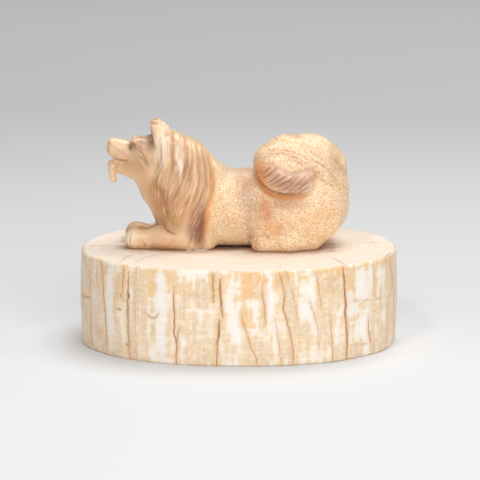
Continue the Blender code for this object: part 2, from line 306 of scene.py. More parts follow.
def curve_through(places, count=14):
    """A soft curve through a few places: Catmull-Rom pieces, each a cubic of its share."""
    p = np.asarray(places, float)
    p = np.vstack([2 * p[0] - p[1], p, 2 * p[-1] - p[-2]])
    along = np.linspace(0.0, len(p) - 3 - 1e-6, count)
    k, t = along.astype(int), (along % 1.0)[:, None]
    a, b, c, d = p[k], p[k + 1], p[k + 2], p[k + 3]
    return 0.5 * (2 * b + (c - a) * t + (2 * a - 5 * b + 4 * c - d) * t**2
                  + (3 * b - a - 3 * c + d) * t**3)


def press(p, curve, depth, width):
    """Depth times a bell of the side-view distance to a curve, fading towards both its ends."""
    pushed = np.zeros(len(p))
    low, high = curve.min(axis=0) - 3 * width, curve.max(axis=0) + 3 * width
    close = np.flatnonzero(((p[:, [0, 2]] > low) & (p[:, [0, 2]] < high)).all(axis=1))
    q, near, place = p[close][:, [0, 2]], np.full(len(close), 1e9), np.zeros(len(close))
    for k, (a, b) in enumerate(zip(curve, curve[1:])):
        along = np.clip((q - a) @ (b - a) / ((b - a) @ (b - a)), 0.0, 1.0)
        away = ((q - a - along[:, None] * (b - a)) ** 2).sum(axis=1)
        place = np.where(away < near, (k + along) / (len(curve) - 1), place)
        near = np.minimum(near, away)
    fade = np.sin(math.pi * np.clip(place, 0.03, 0.97)) ** 0.5
    pushed[close] = depth * fade * np.exp(-near / width**2)
    return pushed


def press_all(p, strokes):
    """The deepest of many strokes at each point."""
    pushed = np.zeros(len(p))
    for curve, depth, width in strokes:
        pushed = np.maximum(pushed, press(p, curve, depth, width))
    return pushed


near_side = np.clip(0.5 - y, 0.0, 1.0)
rng = np.random.default_rng(7)
print("points on the near side:", int((y < 0.0).sum()))

# %% Cut the mane
LOCK_EDGES = [curve_through(places) for places in (
    [(-19.9, 26.5), (-19.6, 23.8), (-19.7, 20.6), (-20.3, 18.4), (-21.0, 16.2), (-20.9, 13.5),
     (-20.2, 11.0), (-19.2, 8.5)],
    [(-17.6, 28.2), (-17.0, 25.0), (-16.9, 22.0), (-17.5, 19.2), (-18.4, 16.5), (-19.0, 14.0),
     (-19.0, 11.0), (-18.2, 7.5)],
    [(-15.7, 27.6), (-15.1, 24.8), (-15.0, 22.2), (-15.6, 19.8), (-16.5, 16.8), (-17.3, 13.8),
     (-17.8, 10.6), (-17.3, 7.0)],
    [(-12.9, 26.8), (-12.3, 24.0), (-12.2, 21.4), (-12.7, 19.0), (-13.7, 16.4), (-15.0, 13.6),
     (-16.2, 10.8), (-16.4, 7.4)],
    [(-11.5, 25.9), (-10.9, 23.1), (-10.9, 20.6), (-11.4, 17.9), (-12.3, 15.3), (-13.5, 12.7),
     (-14.8, 9.8), (-15.3, 6.6)],
    [(-10.4, 25.6), (-9.4, 22.6), (-8.9, 20.0), (-8.8, 17.4), (-9.4, 14.7), (-10.3, 12.2),
     (-11.7, 9.6), (-13.3, 6.8)],
    [(-9.5, 25.4), (-8.3, 22.6), (-7.7, 19.8), (-7.6, 17.0), (-8.0, 14.2), (-9.0, 11.4),
     (-10.4, 8.6), (-11.9, 5.8)],
    [(-9.0, 25.4), (-7.4, 22.8), (-6.5, 20.2), (-6.1, 17.4), (-6.4, 14.4), (-7.5, 11.4),
     (-8.9, 8.4), (-10.4, 4.8)],
)]


def lock(edge, start, end):
    """Part of a curve between two lock edges: edge 2.4 lies 0.4 of the way from 2 to 3."""
    k = min(int(edge), len(LOCK_EDGES) - 2)
    whole = LOCK_EDGES[k] + (LOCK_EDGES[k + 1] - LOCK_EDGES[k]) * (edge - k)
    at = np.linspace(start, end, 12) * (len(whole) - 1)
    return np.stack([np.interp(at, np.arange(len(whole)), whole[:, n]) for n in (0, 1)], axis=1)


# Each: its place among the edges, its start and end as shares of the length, depth, width
DEEP_LOCKS = (
    (0.9, 0.35, 0.95, 0.45, 0.55), (1.9, 0.02, 0.62, 0.7, 0.75), (2.0, 0.55, 1.0, 0.5, 0.45),
    (2.55, 0.0, 0.45, 0.35, 0.4), (3.0, 0.02, 0.9, 0.75, 0.65), (3.45, 0.3, 0.8, 0.35, 0.35),
    (3.95, 0.08, 0.7, 0.65, 0.5), (4.5, 0.45, 1.0, 0.45, 0.4), (4.95, 0.05, 0.85, 0.7, 0.55),
    (5.5, 0.1, 0.55, 0.35, 0.35), (5.95, 0.12, 1.0, 0.7, 0.55), (6.5, 0.35, 0.85, 0.4, 0.35),
    (6.95, 0.1, 0.8, 0.6, 0.6), (1.4, 0.5, 0.9, 0.35, 0.35), (0.4, 0.45, 0.85, 0.3, 0.35),
)
side = np.clip(np.abs(y) / 1.5, 0.0, 1.0)
mane_cut = side * press_all(dog_points, [(lock(edge, start, end), deep, width)
                                         for edge, start, end, deep, width in DEEP_LOCKS])
FINE_LOCKS = 80
fine_cut = np.zeros(len(x))
for this_side in (near_side, 1.0 - near_side):
    starts = rng.uniform(0.0, 0.75, FINE_LOCKS)
    edges = rng.uniform(0.0, 7.0, FINE_LOCKS)
    strokes = [(lock(edge, start, min(start + rng.uniform(0.15, 0.45), 1.0)),
                rng.uniform(0.08, 0.24), rng.uniform(0.2, 0.3))
               for edge, start in zip(edges, starts)]
    fine_cut = np.maximum(fine_cut, side * this_side * press_all(dog_points, strokes))
print("mane:", len(DEEP_LOCKS), "deep cuts and", FINE_LOCKS, "fine strokes a side")

# %% Cut the tail
TIP_CUTS = [(curve_through(places, 8), deep, 0.27) for places, deep in (
    ([(5.2, 18.5), (6.4, 19.4), (7.3, 20.3)], 0.25),
    ([(5.5, 17.6), (7.3, 18.8), (9.0, 20.1)], 0.42),
    ([(6.1, 17.0), (7.9, 18.2), (9.2, 19.3)], 0.2),
    ([(6.5, 16.4), (8.2, 17.4), (9.6, 18.7)], 0.45),
    ([(7.1, 15.8), (9.0, 16.8), (11.2, 18.3)], 0.45),
    ([(7.8, 15.4), (9.6, 16.4), (11.4, 17.6)], 0.22),
    ([(8.4, 15.0), (10.3, 16.2), (12.9, 18.2)], 0.45),
    ([(9.2, 14.6), (11.0, 15.9), (13.6, 18.3)], 0.25),
    ([(9.9, 14.4), (11.7, 15.7), (14.2, 18.2)], 0.42),
    ([(11.6, 14.2), (13.3, 15.4), (15.8, 17.9)], 0.42),
    ([(10.8, 14.2), (12.5, 15.5), (14.8, 17.8)], 0.2),
    ([(12.4, 14.1), (14.0, 15.2), (16.6, 17.8)], 0.2),
    ([(13.1, 14.0), (14.6, 15.0), (17.2, 17.7)], 0.38),
    ([(14.2, 13.9), (15.6, 14.7), (17.6, 16.8)], 0.3),
)]
LIP_INNER = curve_through([(3.9, 18.9), (4.8, 16.7), (6.5, 14.9), (8.3, 13.9), (10.5, 13.5),
                           (13.7, 13.7), (15.8, 14.2)], 20)
LIP_RIDGE = curve_through([(3.4, 19.8), (4.3, 17.1), (5.9, 14.8), (7.9, 13.2), (10.3, 12.7),
                           (13.6, 13.0), (16.2, 13.6), (16.7, 14.8)], 20)
TIP_TOP = curve_through([(6.2, 20.2), (7.6, 20.9), (9.2, 20.3), (10.9, 19.3), (12.8, 18.8),
                         (15.0, 19.3), (16.8, 19.8), (18.0, 18.8), (18.1, 17.2), (17.5, 15.4),
                         (16.6, 14.4)], 24)
on_near_tail = np.clip((-4.5 - y) / 1.2, 0.0, 1.0)
tip_cut = on_near_tail * press_all(dog_points, TIP_CUTS)
lip_cut = on_near_tail * np.maximum(press(dog_points, LIP_INNER, 0.45, 0.35),
                                    press(dog_points, TIP_TOP, 0.18, 0.4))
lip_swell = on_near_tail * press(dog_points, LIP_RIDGE, 0.28, 0.38)
ARCH_X, ARCH_FALL, TAIL_ARCHES = 9.0, 0.034, 46


def tail_arch(crown, start, end):
    """A low arch: the crown's height, less ARCH_FALL times the distance from ARCH_X squared."""
    along = np.linspace(start, end, 10)
    return np.stack([along, crown - ARCH_FALL * (along - ARCH_X) ** 2], axis=1)


arc_cut = np.zeros(len(x))
for this_side in (near_side, 1.0 - near_side):
    strokes = []
    for crown in rng.uniform(19.5, 29.5, TAIL_ARCHES):
        start = rng.uniform(3.0, 22.0)
        arch = tail_arch(crown, start, start + rng.uniform(2.5, 6.5))
        strokes.append((arch, rng.uniform(0.06, 0.2), rng.uniform(0.22, 0.32)))
    arc_cut = np.maximum(arc_cut, this_side * press_all(dog_points, strokes))
on_tip = on_near_tail * (z < 20.5) * (x < 18.0)
arc_cut *= np.clip((z - 12.0) / 4.0, 0.0, 1.0) * (1.0 - on_tip)
arc_cut *= np.clip(x - 3.0, 0.0, 1.0)
print("tail:", len(TIP_CUTS), "cuts on its tip and", TAIL_ARCHES, "arches a side")

# %% Cut the face and the paws
FACE_LINES = [(curve_through(places), deep, width) for places, deep, width in (
    # lids and cheek folds
    ([(-26.6, 24.2), (-26.2, 24.7), (-25.7, 24.9), (-25.2, 24.6), (-25.0, 23.9), (-25.2, 23.2)],
     0.26, 0.17),
    ([(-26.5, 23.6), (-26.1, 23.2), (-25.5, 23.1)], 0.22, 0.16),
    ([(-24.7, 23.5), (-23.7, 23.0), (-22.9, 22.1), (-22.3, 20.9), (-21.5, 19.6)], 0.3, 0.2),
    ([(-24.2, 21.9), (-23.1, 21.2), (-22.3, 20.1), (-21.5, 19.2)], 0.26, 0.2),
    ([(-24.6, 23.6), (-23.4, 23.8), (-22.3, 23.2)], 0.14, 0.22),
    ([(-24.4, 20.6), (-23.6, 19.6), (-23.0, 18.0)], 0.14, 0.22),
    # mouth, muzzle and nose
    ([(-31.2, 21.1), (-29.8, 20.7), (-28.5, 20.4), (-27.3, 20.4), (-26.4, 20.6)], 0.36, 0.26),
    ([(-30.5, 20.1), (-29.4, 19.6), (-27.9, 19.4)], 0.2, 0.26),
    ([(-30.4, 24.0), (-28.9, 22.9), (-27.4, 21.9), (-26.4, 21.2)], 0.07, 0.4),
    ([(-29.5, 20.3), (-29.3, 19.2), (-29.5, 18.0)], 0.2, 0.2),
    ([(-31.9, 25.2), (-31.4, 24.6), (-30.6, 24.3)], 0.26, 0.2),
    ([(-31.5, 24.2), (-31.5, 23.0), (-31.2, 21.7)], 0.26, 0.22),
    # chest, the ear's two edges, elbow and wrist
    ([(-18.8, 6.4), (-17.5, 5.0), (-16.2, 4.2), (-15.0, 3.7)], 0.32, 0.3),
    ([(-21.1, 28.0), (-21.0, 26.6), (-20.6, 25.2), (-20.2, 23.6)], 0.3, 0.32),
    ([(-17.5, 30.3), (-16.9, 29.2), (-16.1, 28.0), (-15.6, 26.5)], 0.3, 0.3),
    ([(-11.2, 4.4), (-11.6, 2.6), (-12.3, 0.6)], 0.25, 0.28),
    ([(-9.8, 4.6), (-10.2, 2.6), (-10.9, 0.8)], 0.2, 0.25),
    ([(-8.7, 4.4), (-9.2, 2.6), (-10.0, 0.6)], 0.22, 0.25),
    ([(-22.8, 1.5), (-22.7, 0.7), (-22.8, 0.0)], 0.3, 0.3),
    # haunch and hind foot
    ([(4.3, 14.4), (3.8, 9.7), (4.3, 5.4), (5.5, 4.1)], 0.15, 0.5),
    ([(5.4, 4.5), (6.7, 3.5), (7.1, 2.3)], 0.25, 0.3),
    ([(8.9, 3.6), (9.3, 1.8), (10.2, 0.8)], 0.25, 0.3),
    ([(16.3, 5.4), (17.6, 6.5), (19.3, 6.9)], 0.15, 0.3),
    ([(8.0, 12.3), (8.6, 11.2), (9.1, 10.4)], 0.2, 0.3),
    # the notch in the ear's tip
    ([(-21.3, 29.6), (-20.5, 29.9), (-19.7, 29.7), (-19.0, 30.2)], 0.3, 0.22),
)]
face_cut = press_all(dog_points, FACE_LINES) * np.clip((np.abs(y) - 0.5) / 0.6, 0.0, 1.0)
# Each paw: its middle, the directions of the grooves between its toes, the height of its top
PAWS = (((-25.0, 4.1), (-25.0, 6.0, 34.0, 60.0), 3.2), ((5.4, 7.4), (-15.0, 20.0, 50.0), 3.4))
TOE_LENGTH, TOE_DEPTH, TOE_WIDTH = 4.0, 0.24, 0.24
toe_cut = np.zeros(len(x))
for (paw_x, paw_y), angles, paw_top in PAWS:
    off_x, off_y = paw_x - x, np.abs(y) - paw_y
    for turn in np.radians(angles):
        forward = off_x * math.cos(turn) + off_y * math.sin(turn)
        across = off_y * math.cos(turn) - off_x * math.sin(turn)
        here = smooth((forward - 0.9) / 0.8) * smooth((paw_top + 0.9 - z) / 1.2)
        toe_cut = np.maximum(toe_cut, here * (forward < TOE_LENGTH) * TOE_DEPTH
                             * np.exp(-((across / TOE_WIDTH) ** 2)))
print("face and paws:", len(FACE_LINES), "lines")

# %% Push the skin in and keep how deep each cut is
depth = np.maximum.reduce([mane_cut + 0.8 * fine_cut, tip_cut, lip_cut, arc_cut, face_cut, toe_cut])
depth = (depth - lip_swell) * np.clip((z + 0.1) / 0.3, 0.0, 1.0)
carved = dog_points - dog_out * depth[:, None]
print("deepest cut", round(float(depth.max()), 2), "mm")

# %% [markdown]
# ## Colours of the ivory
#
# Walrus tusk has two kinds of ivory. The outer one is smooth and warm: head, mane, forelegs and
# the tail's tip. The core looks like oatmeal, cream and tan grains packed together: trunk, haunch
# and the tail's upper part. Broad colours are worked out for every point and kept in the mesh as
# an attribute. Painting by hand would do as well, but a table of ellipses can be read and changed.

# %% Colour helpers
def linear(hex_code):
    """sRGB hex to linear light."""
    s = np.array([int(hex_code[k:k + 2], 16) for k in (1, 3, 5)]) / 255.0
    return np.where(s <= 0.04045, s / 12.92, ((s + 0.055) / 1.055) ** 2.4)


def mix(colours, hex_code, share):
    """Move each colour by its share towards one colour."""
    share = np.clip(share, 0.0, 1.0)[:, None]
    return colours + (linear(hex_code) - colours) * share


def lay(tone, rows):
    """Lay colours over a tone one after the other, each by its share at every point."""
    for hex_code, share in rows:
        tone = mix(tone, hex_code, share)
    return tone


def mottle(u, v, seed, wrap=256):
    """Value noise: a random number at every whole (u, v), run smoothly into its neighbours."""
    lattice = np.random.default_rng(seed).random((wrap, 256))
    i, j = np.floor(u).astype(int), np.floor(v).astype(int)
    a, b = smooth(u - i), smooth(v - j)
    one, two = i % wrap, (i + 1) % wrap
    low = lattice[one, j % 256] * (1 - a) + lattice[two, j % 256] * a
    high = lattice[one, (j + 1) % 256] * (1 - a) + lattice[two, (j + 1) % 256] * a
    return low * (1 - b) + high * b


def zone(p, x, z, rx, rz, tilt=0.0, soft=0.4):
    """Ellipse in the side view: 1 inside, sinking to 0 across its soft edge."""
    c, s = math.cos(math.radians(tilt)), math.sin(math.radians(tilt))
    u, w = p[:, 0] - x, p[:, 2] - z
    d = np.hypot((c * u + s * w) / rx, (c * w - s * u) / rz)
    return smooth((1.0 + soft - d) / (2.0 * soft))


# %% Which ivory shows where
TIP_OUTLINE = np.vstack([LIP_INNER, TIP_TOP[::-1]])


def patch(p, outline, soft):
    """1 inside a closed outline on the side view and 0 outside, even across its soft edge."""
    q, inside, nearest = p[:, [0, 2]], np.zeros(len(p), bool), np.full(len(p), 1e9)
    for a, b in zip(outline, np.roll(outline, -1, axis=0)):
        level = (a[1] > q[:, 1]) != (b[1] > q[:, 1])
        inside ^= level & (q[:, 0] < a[0] + (b[0] - a[0]) * (q[:, 1] - a[1]) / (b[1] - a[1] + 1e-9))
        along = np.clip((q - a) @ (b - a) / ((b - a) @ (b - a) + 1e-9), 0.0, 1.0)
        nearest = np.minimum(nearest, np.linalg.norm(q - a - along[:, None] * (b - a), axis=1))
    return smooth(0.5 + np.where(inside, nearest, -nearest) / (2.0 * soft))


cloud = (mottle(x / 4.0 + 40.0 * near_side, z / 4.0, 3) * 0.6
         + mottle(x / 1.6, z / 1.6 + y / 3.0, 4) * 0.4)
tip = on_near_tail * patch(dog_points, TIP_OUTLINE, 0.6)
lip = on_near_tail * np.clip(press(dog_points, LIP_RIDGE, 1.0, 0.6) * 1.3, 0.0, 1.0)
rolled_edge = 0.7 * on_near_tail * zone(dog_points, 4.3, 19.5, 1.6, 3.0)
grain = smooth((x + 7.6 - 0.16 * (z - 8.0)) / 2.0 + 0.6 * (cloud - 0.5))
grain *= (1.0 - tip) * (1.0 - lip) * (1.0 - rolled_edge)
tone = lay(np.tile(linear("#efcda3"), (len(x), 1)), (
    ("#fae3c0", grain),
    # painted light: the grainy ivory paler towards the top of the rump and tail
    ("#fdebcf", grain * smooth((z - 17.0) / 5.0) * (x > 2.0)),
    ("#d7a67c", 0.5 * smooth((cloud - 0.5) / 0.35) * (1.0 - grain)),
))
print("grainy share", round(float(grain.mean()), 2))

# %% [markdown]
# ## How the hair runs
#
# The finest hairs are left to the material, which needs two lengths at each point: one across the
# hair and one along it. Down the mane the first counts the lock edges, on the forelegs and the
# tail's tip the hair slants, and over the tail it follows the same arches as the strokes.

# %% How the hair runs
edge_at = np.stack([np.interp(z, curve[::-1, 1], curve[::-1, 0]) for curve in LOCK_EDGES])
between = np.clip((x - edge_at[:-1]) / (edge_at[1:] - edge_at[:-1]), 0.0, 1.0).sum(axis=0)
hair_across = 1.9 * between + np.minimum(x - edge_at[0], 0.0) + np.maximum(x - edge_at[-1], 0.0)
combed = smooth((x - edge_at[0] + 1.0) / 2.0) * smooth((edge_at[-1] + 1.2 - x) / 1.5)
combed = np.maximum(combed * smooth((z - 3.0) / 3.0), 0.25 * (1.0 - grain))
on_leg = smooth((5.5 - z) / 2.0) * smooth(-8.5 - x)
hair_across = hair_across * (1.0 - on_leg) + on_leg * (0.8 * x - 0.6 * z)
hair_along = z * (1.0 - on_leg) + on_leg * (0.6 * x + 0.8 * z)
combed = np.maximum(combed, 0.4 * on_leg)
on_tail = (x > 3.5) * smooth((z - 14.0) / 4.0)
hair_across = np.where(on_tail > 0.0, z + ARCH_FALL * (x - ARCH_X) ** 2, hair_across)
hair_along = np.where(on_tail > 0.0, x, hair_along)
polished = tip + lip > 0.02
hair_across = np.where(polished, 0.83 * z - 0.56 * x, hair_across)
hair_along = np.where(polished, 0.83 * x + 0.56 * z, hair_along)
combed = np.maximum(np.maximum(combed, 0.55 * on_tail), tip)
hair = np.stack([hair_across, hair_along, np.where(y < 0.0, 0.0, 50.0)], axis=1)
print("fine hair on", round(float((combed > 0.2).mean()), 2), "of the points")

# %% Stains, painted shade and painted highlights, as colour, middle x and z, radii, tilt in degrees, share
BOTH_SIDES = (
    ("#feebd0", -18.4, 24.6, 1.4, 4.2, -4.0, 0.95),  # painted highlight on the lock below the ear
    ("#6e453c", -21.2, 26.2, 0.8, 2.4, 8.0, 0.9),  # painted shadow in the hollow along the ear's front edge
    ("#9c7461", -22.6, 25.2, 1.5, 1.5, 0.0, 0.6),  # before the ear
    ("#c8945f", -20.4, 30.4, 1.2, 0.6, 0.0, 0.7),  # tip of the ear
    ("#c0967a", -23.2, 23.6, 2.2, 2.0, 0.0, 0.55),  # temple
    ("#e9cdae", -28.6, 24.4, 2.4, 1.0, -10.0, 0.65),  # painted highlight on the bridge of the nose
    ("#8f6355", -25.9, 24.1, 1.0, 0.9, 40.0, 0.65),  # lids
    ("#5e3b31", -25.85, 24.0, 0.5, 0.36, 40.0, 0.8),  # eye
    ("#bf8d64", -25.0, 19.2, 3.6, 2.0, 0.0, 0.65),  # jaw
    ("#d3a67f", -28.6, 22.1, 2.9, 1.0, 14.0, 0.35),  # painted shade on the muzzle's lower side
    ("#efc9a0", -29.2, 20.8, 2.2, 0.8, 0.0, 0.5),  # lip
    ("#c49a78", -23.8, 21.4, 2.2, 2.4, 0.0, 0.5),  # cheek
    ("#c9935f", -22.6, 15.8, 1.5, 3.2, 20.0, 0.5),  # throat
    ("#f2d2a8", -20.0, 17.6, 1.3, 2.4, 0.0, 0.6),  # front of the ruff
    ("#b97b42", -19.0, 11.2, 2.4, 4.8, 15.0, 0.8),  # chest
    ("#bd834b", -17.0, 6.6, 2.8, 2.6, 0.0, 0.7),  # foot of the mane
    ("#efc697", -11.0, 26.0, 4.5, 1.4, -38.0, 0.55),  # nape
    ("#fae6c8", -26.6, 2.4, 1.8, 2.2, 0.0, 0.85),  # forepaw
    ("#c98f66", -18.8, 0.2, 4.6, 0.8, 0.0, 0.6),  # under the foreleg
    ("#d8bb9b", -1.0, 18.2, 5.5, 1.7, 0.0, 0.75),  # back
    ("#d6ae83", -2.0, 3.6, 6.5, 2.6, 0.0, 0.7),  # painted shadow on the belly
    ("#d2b391", 23.0, 22.3, 1.6, 4.4, 0.0, 0.7),  # back edge of the tail
)
NEAR_SIDE = (
    ("#d3a58c", -15.3, 20.8, 0.8, 5.0, 3.0, 0.6),  # reddish locks
    ("#d6a587", -12.5, 20.8, 1.0, 5.0, 3.0, 0.55),
    ("#dba683", -9.8, 19.8, 0.7, 4.0, 5.0, 0.5),
    ("#fff2df", -14.0, 21.5, 0.45, 4.0, 3.0, 0.9),  # painted highlights on two pale locks
    ("#fbe4c2", -11.5, 21.8, 0.35, 3.4, 5.0, 0.6),
    ("#dba468", -13.4, 11.0, 2.8, 4.4, -14.0, 0.5),  # shoulder
    ("#8f4422", -8.6, 7.0, 1.2, 3.8, -8.0, 0.95),  # dark cleft behind the mane
    ("#a86541", -10.4, 8.4, 1.5, 4.2, -15.0, 0.65),
    ("#7d4b34", -10.6, 3.8, 1.6, 2.4, 20.0, 0.65),  # elbow
    ("#a35e30", -9.2, 1.8, 1.2, 1.4, 0.0, 0.6),
    ("#c68850", 11.4, 11.5, 4.0, 1.3, 0.0, 0.75),  # painted shadow under the tail
    ("#ca7d17", 6.2, 9.6, 1.7, 3.6, 5.0, 0.98),  # rusty haunch
    ("#eea75c", 8.6, 5.0, 2.2, 1.6, 0.0, 0.6),  # knee
    ("#c49a7b", 1.9, 14.6, 2.2, 5.0, 0.0, 0.8),  # shade before the haunch
    ("#cda58a", 2.6, 9.8, 1.5, 5.0, 0.0, 0.55),
    ("#f3bb6c", 19.3, 8.6, 3.2, 2.2, 0.0, 0.5),  # hock
    ("#dcab86", -17.8, 2.0, 4.2, 2.0, 0.0, 0.55),  # foreleg
    ("#dba066", 4.0, 2.0, 1.6, 1.8, 0.0, 0.35),  # hind paw
)
FAR_SIDE = (
    ("#c99a80", -13.4, 19.5, 1.2, 5.0, 8.0, 0.6),  # mane
    ("#a56a4a", -10.2, 6.6, 1.8, 3.4, -8.0, 0.55),  # elbow
    ("#e8a055", 4.4, 7.0, 2.6, 2.4, 0.0, 0.5),  # haunch
    ("#d3ab96", 12.4, 13.8, 3.5, 4.6, 0.0, 0.45),  # thigh
    ("#f4ba6c", 15.3, 22.6, 3.2, 2.2, 0.0, 0.4),  # tail
)
print(len(BOTH_SIDES + NEAR_SIDE + FAR_SIDE), "stains")

# %% Lay the stains, painted shade and highlights, the tail's tip, and dirt and painted shade in the cuts
# How far each point is covered by a zone: a stain, painted shade or a painted highlight
zone_cover = np.zeros(len(x))
for stains, side_share in ((BOTH_SIDES, 1.0), (NEAR_SIDE, near_side), (FAR_SIDE, 1.0 - near_side)):
    for hex_code, cx, cz, rx, rz, tilt, share in stains:
        ragged = share * (0.75 + 0.5 * cloud) * side_share
        spread = ragged * zone(dog_points, cx, cz, rx, rz, tilt, 0.75)
        tone = mix(tone, hex_code, spread)
        zone_cover = np.maximum(zone_cover, spread)
rim = np.interp(z, [2.0, 4.0, 12.5, 18.0, 21.0], [-9.0, -8.1, -6.8, -6.4, -6.2])
rim_here = near_side * smooth((z - 2.5) / 3.0) * smooth((20.0 - z) / 3.0)
grain *= 1.0 - 0.6 * zone_cover
grain *= 1.0 - rim_here * smooth((rim + 0.7 - x) / 0.6)
golden = on_near_tail * patch(dog_points, TIP_OUTLINE, 2.0)
# Painted highlights on the ridges between the cuts of the tail's tip
ridge_glint = tip * smooth((0.12 - tip_cut) / 0.1) * smooth((cloud - 0.38) / 0.2)
rolled_edge = on_near_tail * 0.75 * zone(dog_points, 4.9, 18.8, 1.9, 3.2, 10.0, 0.8)
# Painted shade on the inner side of the far foreleg, between the legs
shade_between_legs = (x < -15.5) * (z < 6.5) * smooth(y + 3.2) * smooth(5.2 - y)
tone = lay(tone, (
    ("#eda85e", 0.75 * rim_here * np.exp(-(((x - rim) / 0.95) ** 2))),
    ("#7f4327", 0.75 * near_side * zone(dog_points, -9.3, 5.6, 1.1, 2.8, -8.0, 0.7)),
    ("#e6aa6a", 0.68 * golden * (1.0 - tip)), ("#dca988", 0.85 * tip), ("#f3d8c0", 0.65 * ridge_glint),
    ("#dd8f45", rolled_edge), ("#cf8d4c", 0.9 * lip), ("#b48a62", 0.7 * shade_between_legs),
))
# Each: the colour of the dirt and painted shade in a cut and its share, the cut, the depth at which
# they are full, a power
for hex_code, share, groove, full, power in (
        ("#9e5a24", 0.55, mane_cut, 0.75, 1.6), ("#b0703f", 0.5, fine_cut, 0.24, 1.0),
        ("#d39a58", 0.75, arc_cut, 0.18, 1.0), ("#84503e", 0.78, tip_cut, 0.42, 1.0),
        ("#9a4f1f", 0.85, lip_cut, 0.45, 1.0), ("#8a4d2a", 0.6, face_cut * (x < 0.0), 0.32, 1.0),
        ("#b87540", 0.5, face_cut * (x >= 0.0), 0.32, 1.0), ("#b0794a", 0.35, toe_cut, 0.24, 1.0)):
    tone = mix(tone, hex_code, share * np.clip(groove / full, 0.0, 1.0) ** power)
print("dog tone", tone.mean(axis=0).round(2))

# %% [markdown]
# ## Meshes and nodes
#
# A few helpers serve every piece. One turns arrays of points and faces into an object, with
# numbers or colours for each point. One adds a node with its settings and links, so that a
# material reads as a short list of what feeds what. One lays a colour over another where a
# noise is strong, which makes the hairs, lines and fibres of both ivories.

# %% Helpers for pieces and materials
def make_piece(name, points_mm, faces, material, **per_point):
    """An object at the origin from points in millimetres, and its attributes."""
    mesh = bpy.data.meshes.new(name)
    mesh.from_pydata((np.asarray(points_mm) * MM).tolist(), [], faces)
    for label, values in per_point.items():
        kind, field = ("FLOAT", "value") if values.ndim == 1 else ("FLOAT_COLOR", "color")
        if label == "hair":
            kind, field = "FLOAT_VECTOR", "vector"
        elif values.ndim == 2:
            values = np.hstack([values, np.ones((len(values), 1))])
        mesh.attributes.new(label, kind, "POINT").data.foreach_set(field, values.ravel())
    mesh.shade_smooth()
    mesh.materials.append(material)
    made = bpy.data.objects.new(name, mesh)
    bpy.context.scene.collection.objects.link(made)
    print(name, len(mesh.vertices), "points,", len(mesh.polygons), "faces")
    return made


def add(tree, kind, inputs=None, **settings):
    """One node; its kind is the type's name after ShaderNode. Inputs are values or outputs."""
    made = tree.nodes.new("ShaderNode" + kind)
    for name, value in settings.items():
        setattr(made, name, value)
    for name, value in (inputs or {}).items():
        if isinstance(value, bpy.types.NodeSocket):
            tree.links.new(value, made.inputs[name])
        else:
            made.inputs[name].default_value = value
    return made


def new_material(name):
    """An empty node material and its tree."""
    made = bpy.data.materials.new(name)
    made.use_nodes = True
    made.node_tree.nodes.clear()
    return made, made.node_tree


def shade(tree, inputs):
    """The principled shader, joined to the output."""
    shader = add(tree, "BsdfPrincipled", inputs)
    add(tree, "OutputMaterial", {"Surface": shader.outputs["BSDF"]})


def colour(hex_code):
    """Linear colour with full alpha, for a node's socket."""
    return (*linear(hex_code), 1.0)


def streak(tree, under, hex_code, noise, start, full, most, share=None):
    """Lay a colour over another where a noise runs from start to full, and by most at most."""
    much = add(tree, "MapRange", {"Value": noise, "From Min": start, "From Max": full,
                                  "To Min": 0.0, "To Max": most}).outputs["Result"]
    if share is not None:
        much = add(tree, "Math", {0: much, 1: share}, operation="MULTIPLY").outputs[0]
    return add(tree, "Mix", {0: much, 6: under, 7: colour(hex_code)}, data_type="RGBA").outputs[2]


# %% [markdown]
# ## Walrus ivory
#
# Polished ivory is a dense, slightly oily tooth: light goes in a little way, so edges glow, and
# the surface keeps a soft gloss. Its oatmeal core shows grains a quarter to half a millimetre
# across. A Voronoi pattern makes such cells, and the grain attribute says where they show. The
# finest hairs are a noise drawn out along the locks, by the two lengths that each point carries,
# so it follows every bend without a texture picture. Real grains and hairs are partly finer than
# a pixel of the render, so both are drawn a little coarser.

# %% Walrus ivory
GRAIN_MM, HAIR_MM, DENT_MM = 0.27, 0.26, 0.35
ivory, tree = new_material("walrus_ivory_carved")
where = add(tree, "TexCoord").outputs["Object"]
base = add(tree, "Attribute", attribute_name="tone").outputs["Color"]
grainy = add(tree, "Attribute", attribute_name="grain").outputs["Fac"]
cells = add(tree, "TexVoronoi", {"Vector": where, "Scale": 1.0 / (GRAIN_MM * MM),
                                 "Randomness": 1.0})
pale = add(tree, "MapRange", {"Value": cells.outputs["Color"], "From Min": 0.15, "From Max": 0.85})
tan_grain = add(tree, "Mix", {0: 1.0, 6: base, 7: colour("#ebc79b")}, data_type="RGBA",
                blend_type="MULTIPLY")
light_grain = add(tree, "Mix", {0: 0.4, 6: base, 7: colour("#fff3dc")}, data_type="RGBA")
grains = add(tree, "Mix", {0: pale.outputs["Result"], 6: tan_grain.outputs[2],
                           7: light_grain.outputs[2]}, data_type="RGBA")
bare = add(tree, "Mix", {0: grainy, 6: base, 7: grains.outputs[2]}, data_type="RGBA").outputs[2]
combing = add(tree, "Attribute", attribute_name="combed").outputs["Fac"]
flow = add(tree, "Attribute", attribute_name="hair").outputs["Vector"]
hair_map = add(tree, "Mapping", {"Vector": flow, "Scale": (1.0 / HAIR_MM, 0.28, 1.0)})
hairs = add(tree, "TexNoise", {"Vector": hair_map.outputs[0], "Scale": 1.0,
                               "Detail": 3.0}).outputs["Fac"]
with_dark = streak(tree, bare, "#c38648", hairs, 0.5, 0.7, 0.42, combing)
final = streak(tree, with_dark, "#ffedd2", hairs, 0.46, 0.3, 0.6, combing)
gloss = add(tree, "MapRange", {"Value": grainy, "To Min": 0.26, "To Max": 0.46})
fine = add(tree, "TexNoise", {"Vector": where, "Scale": 1.0 / (DENT_MM * MM), "Detail": 2.0})
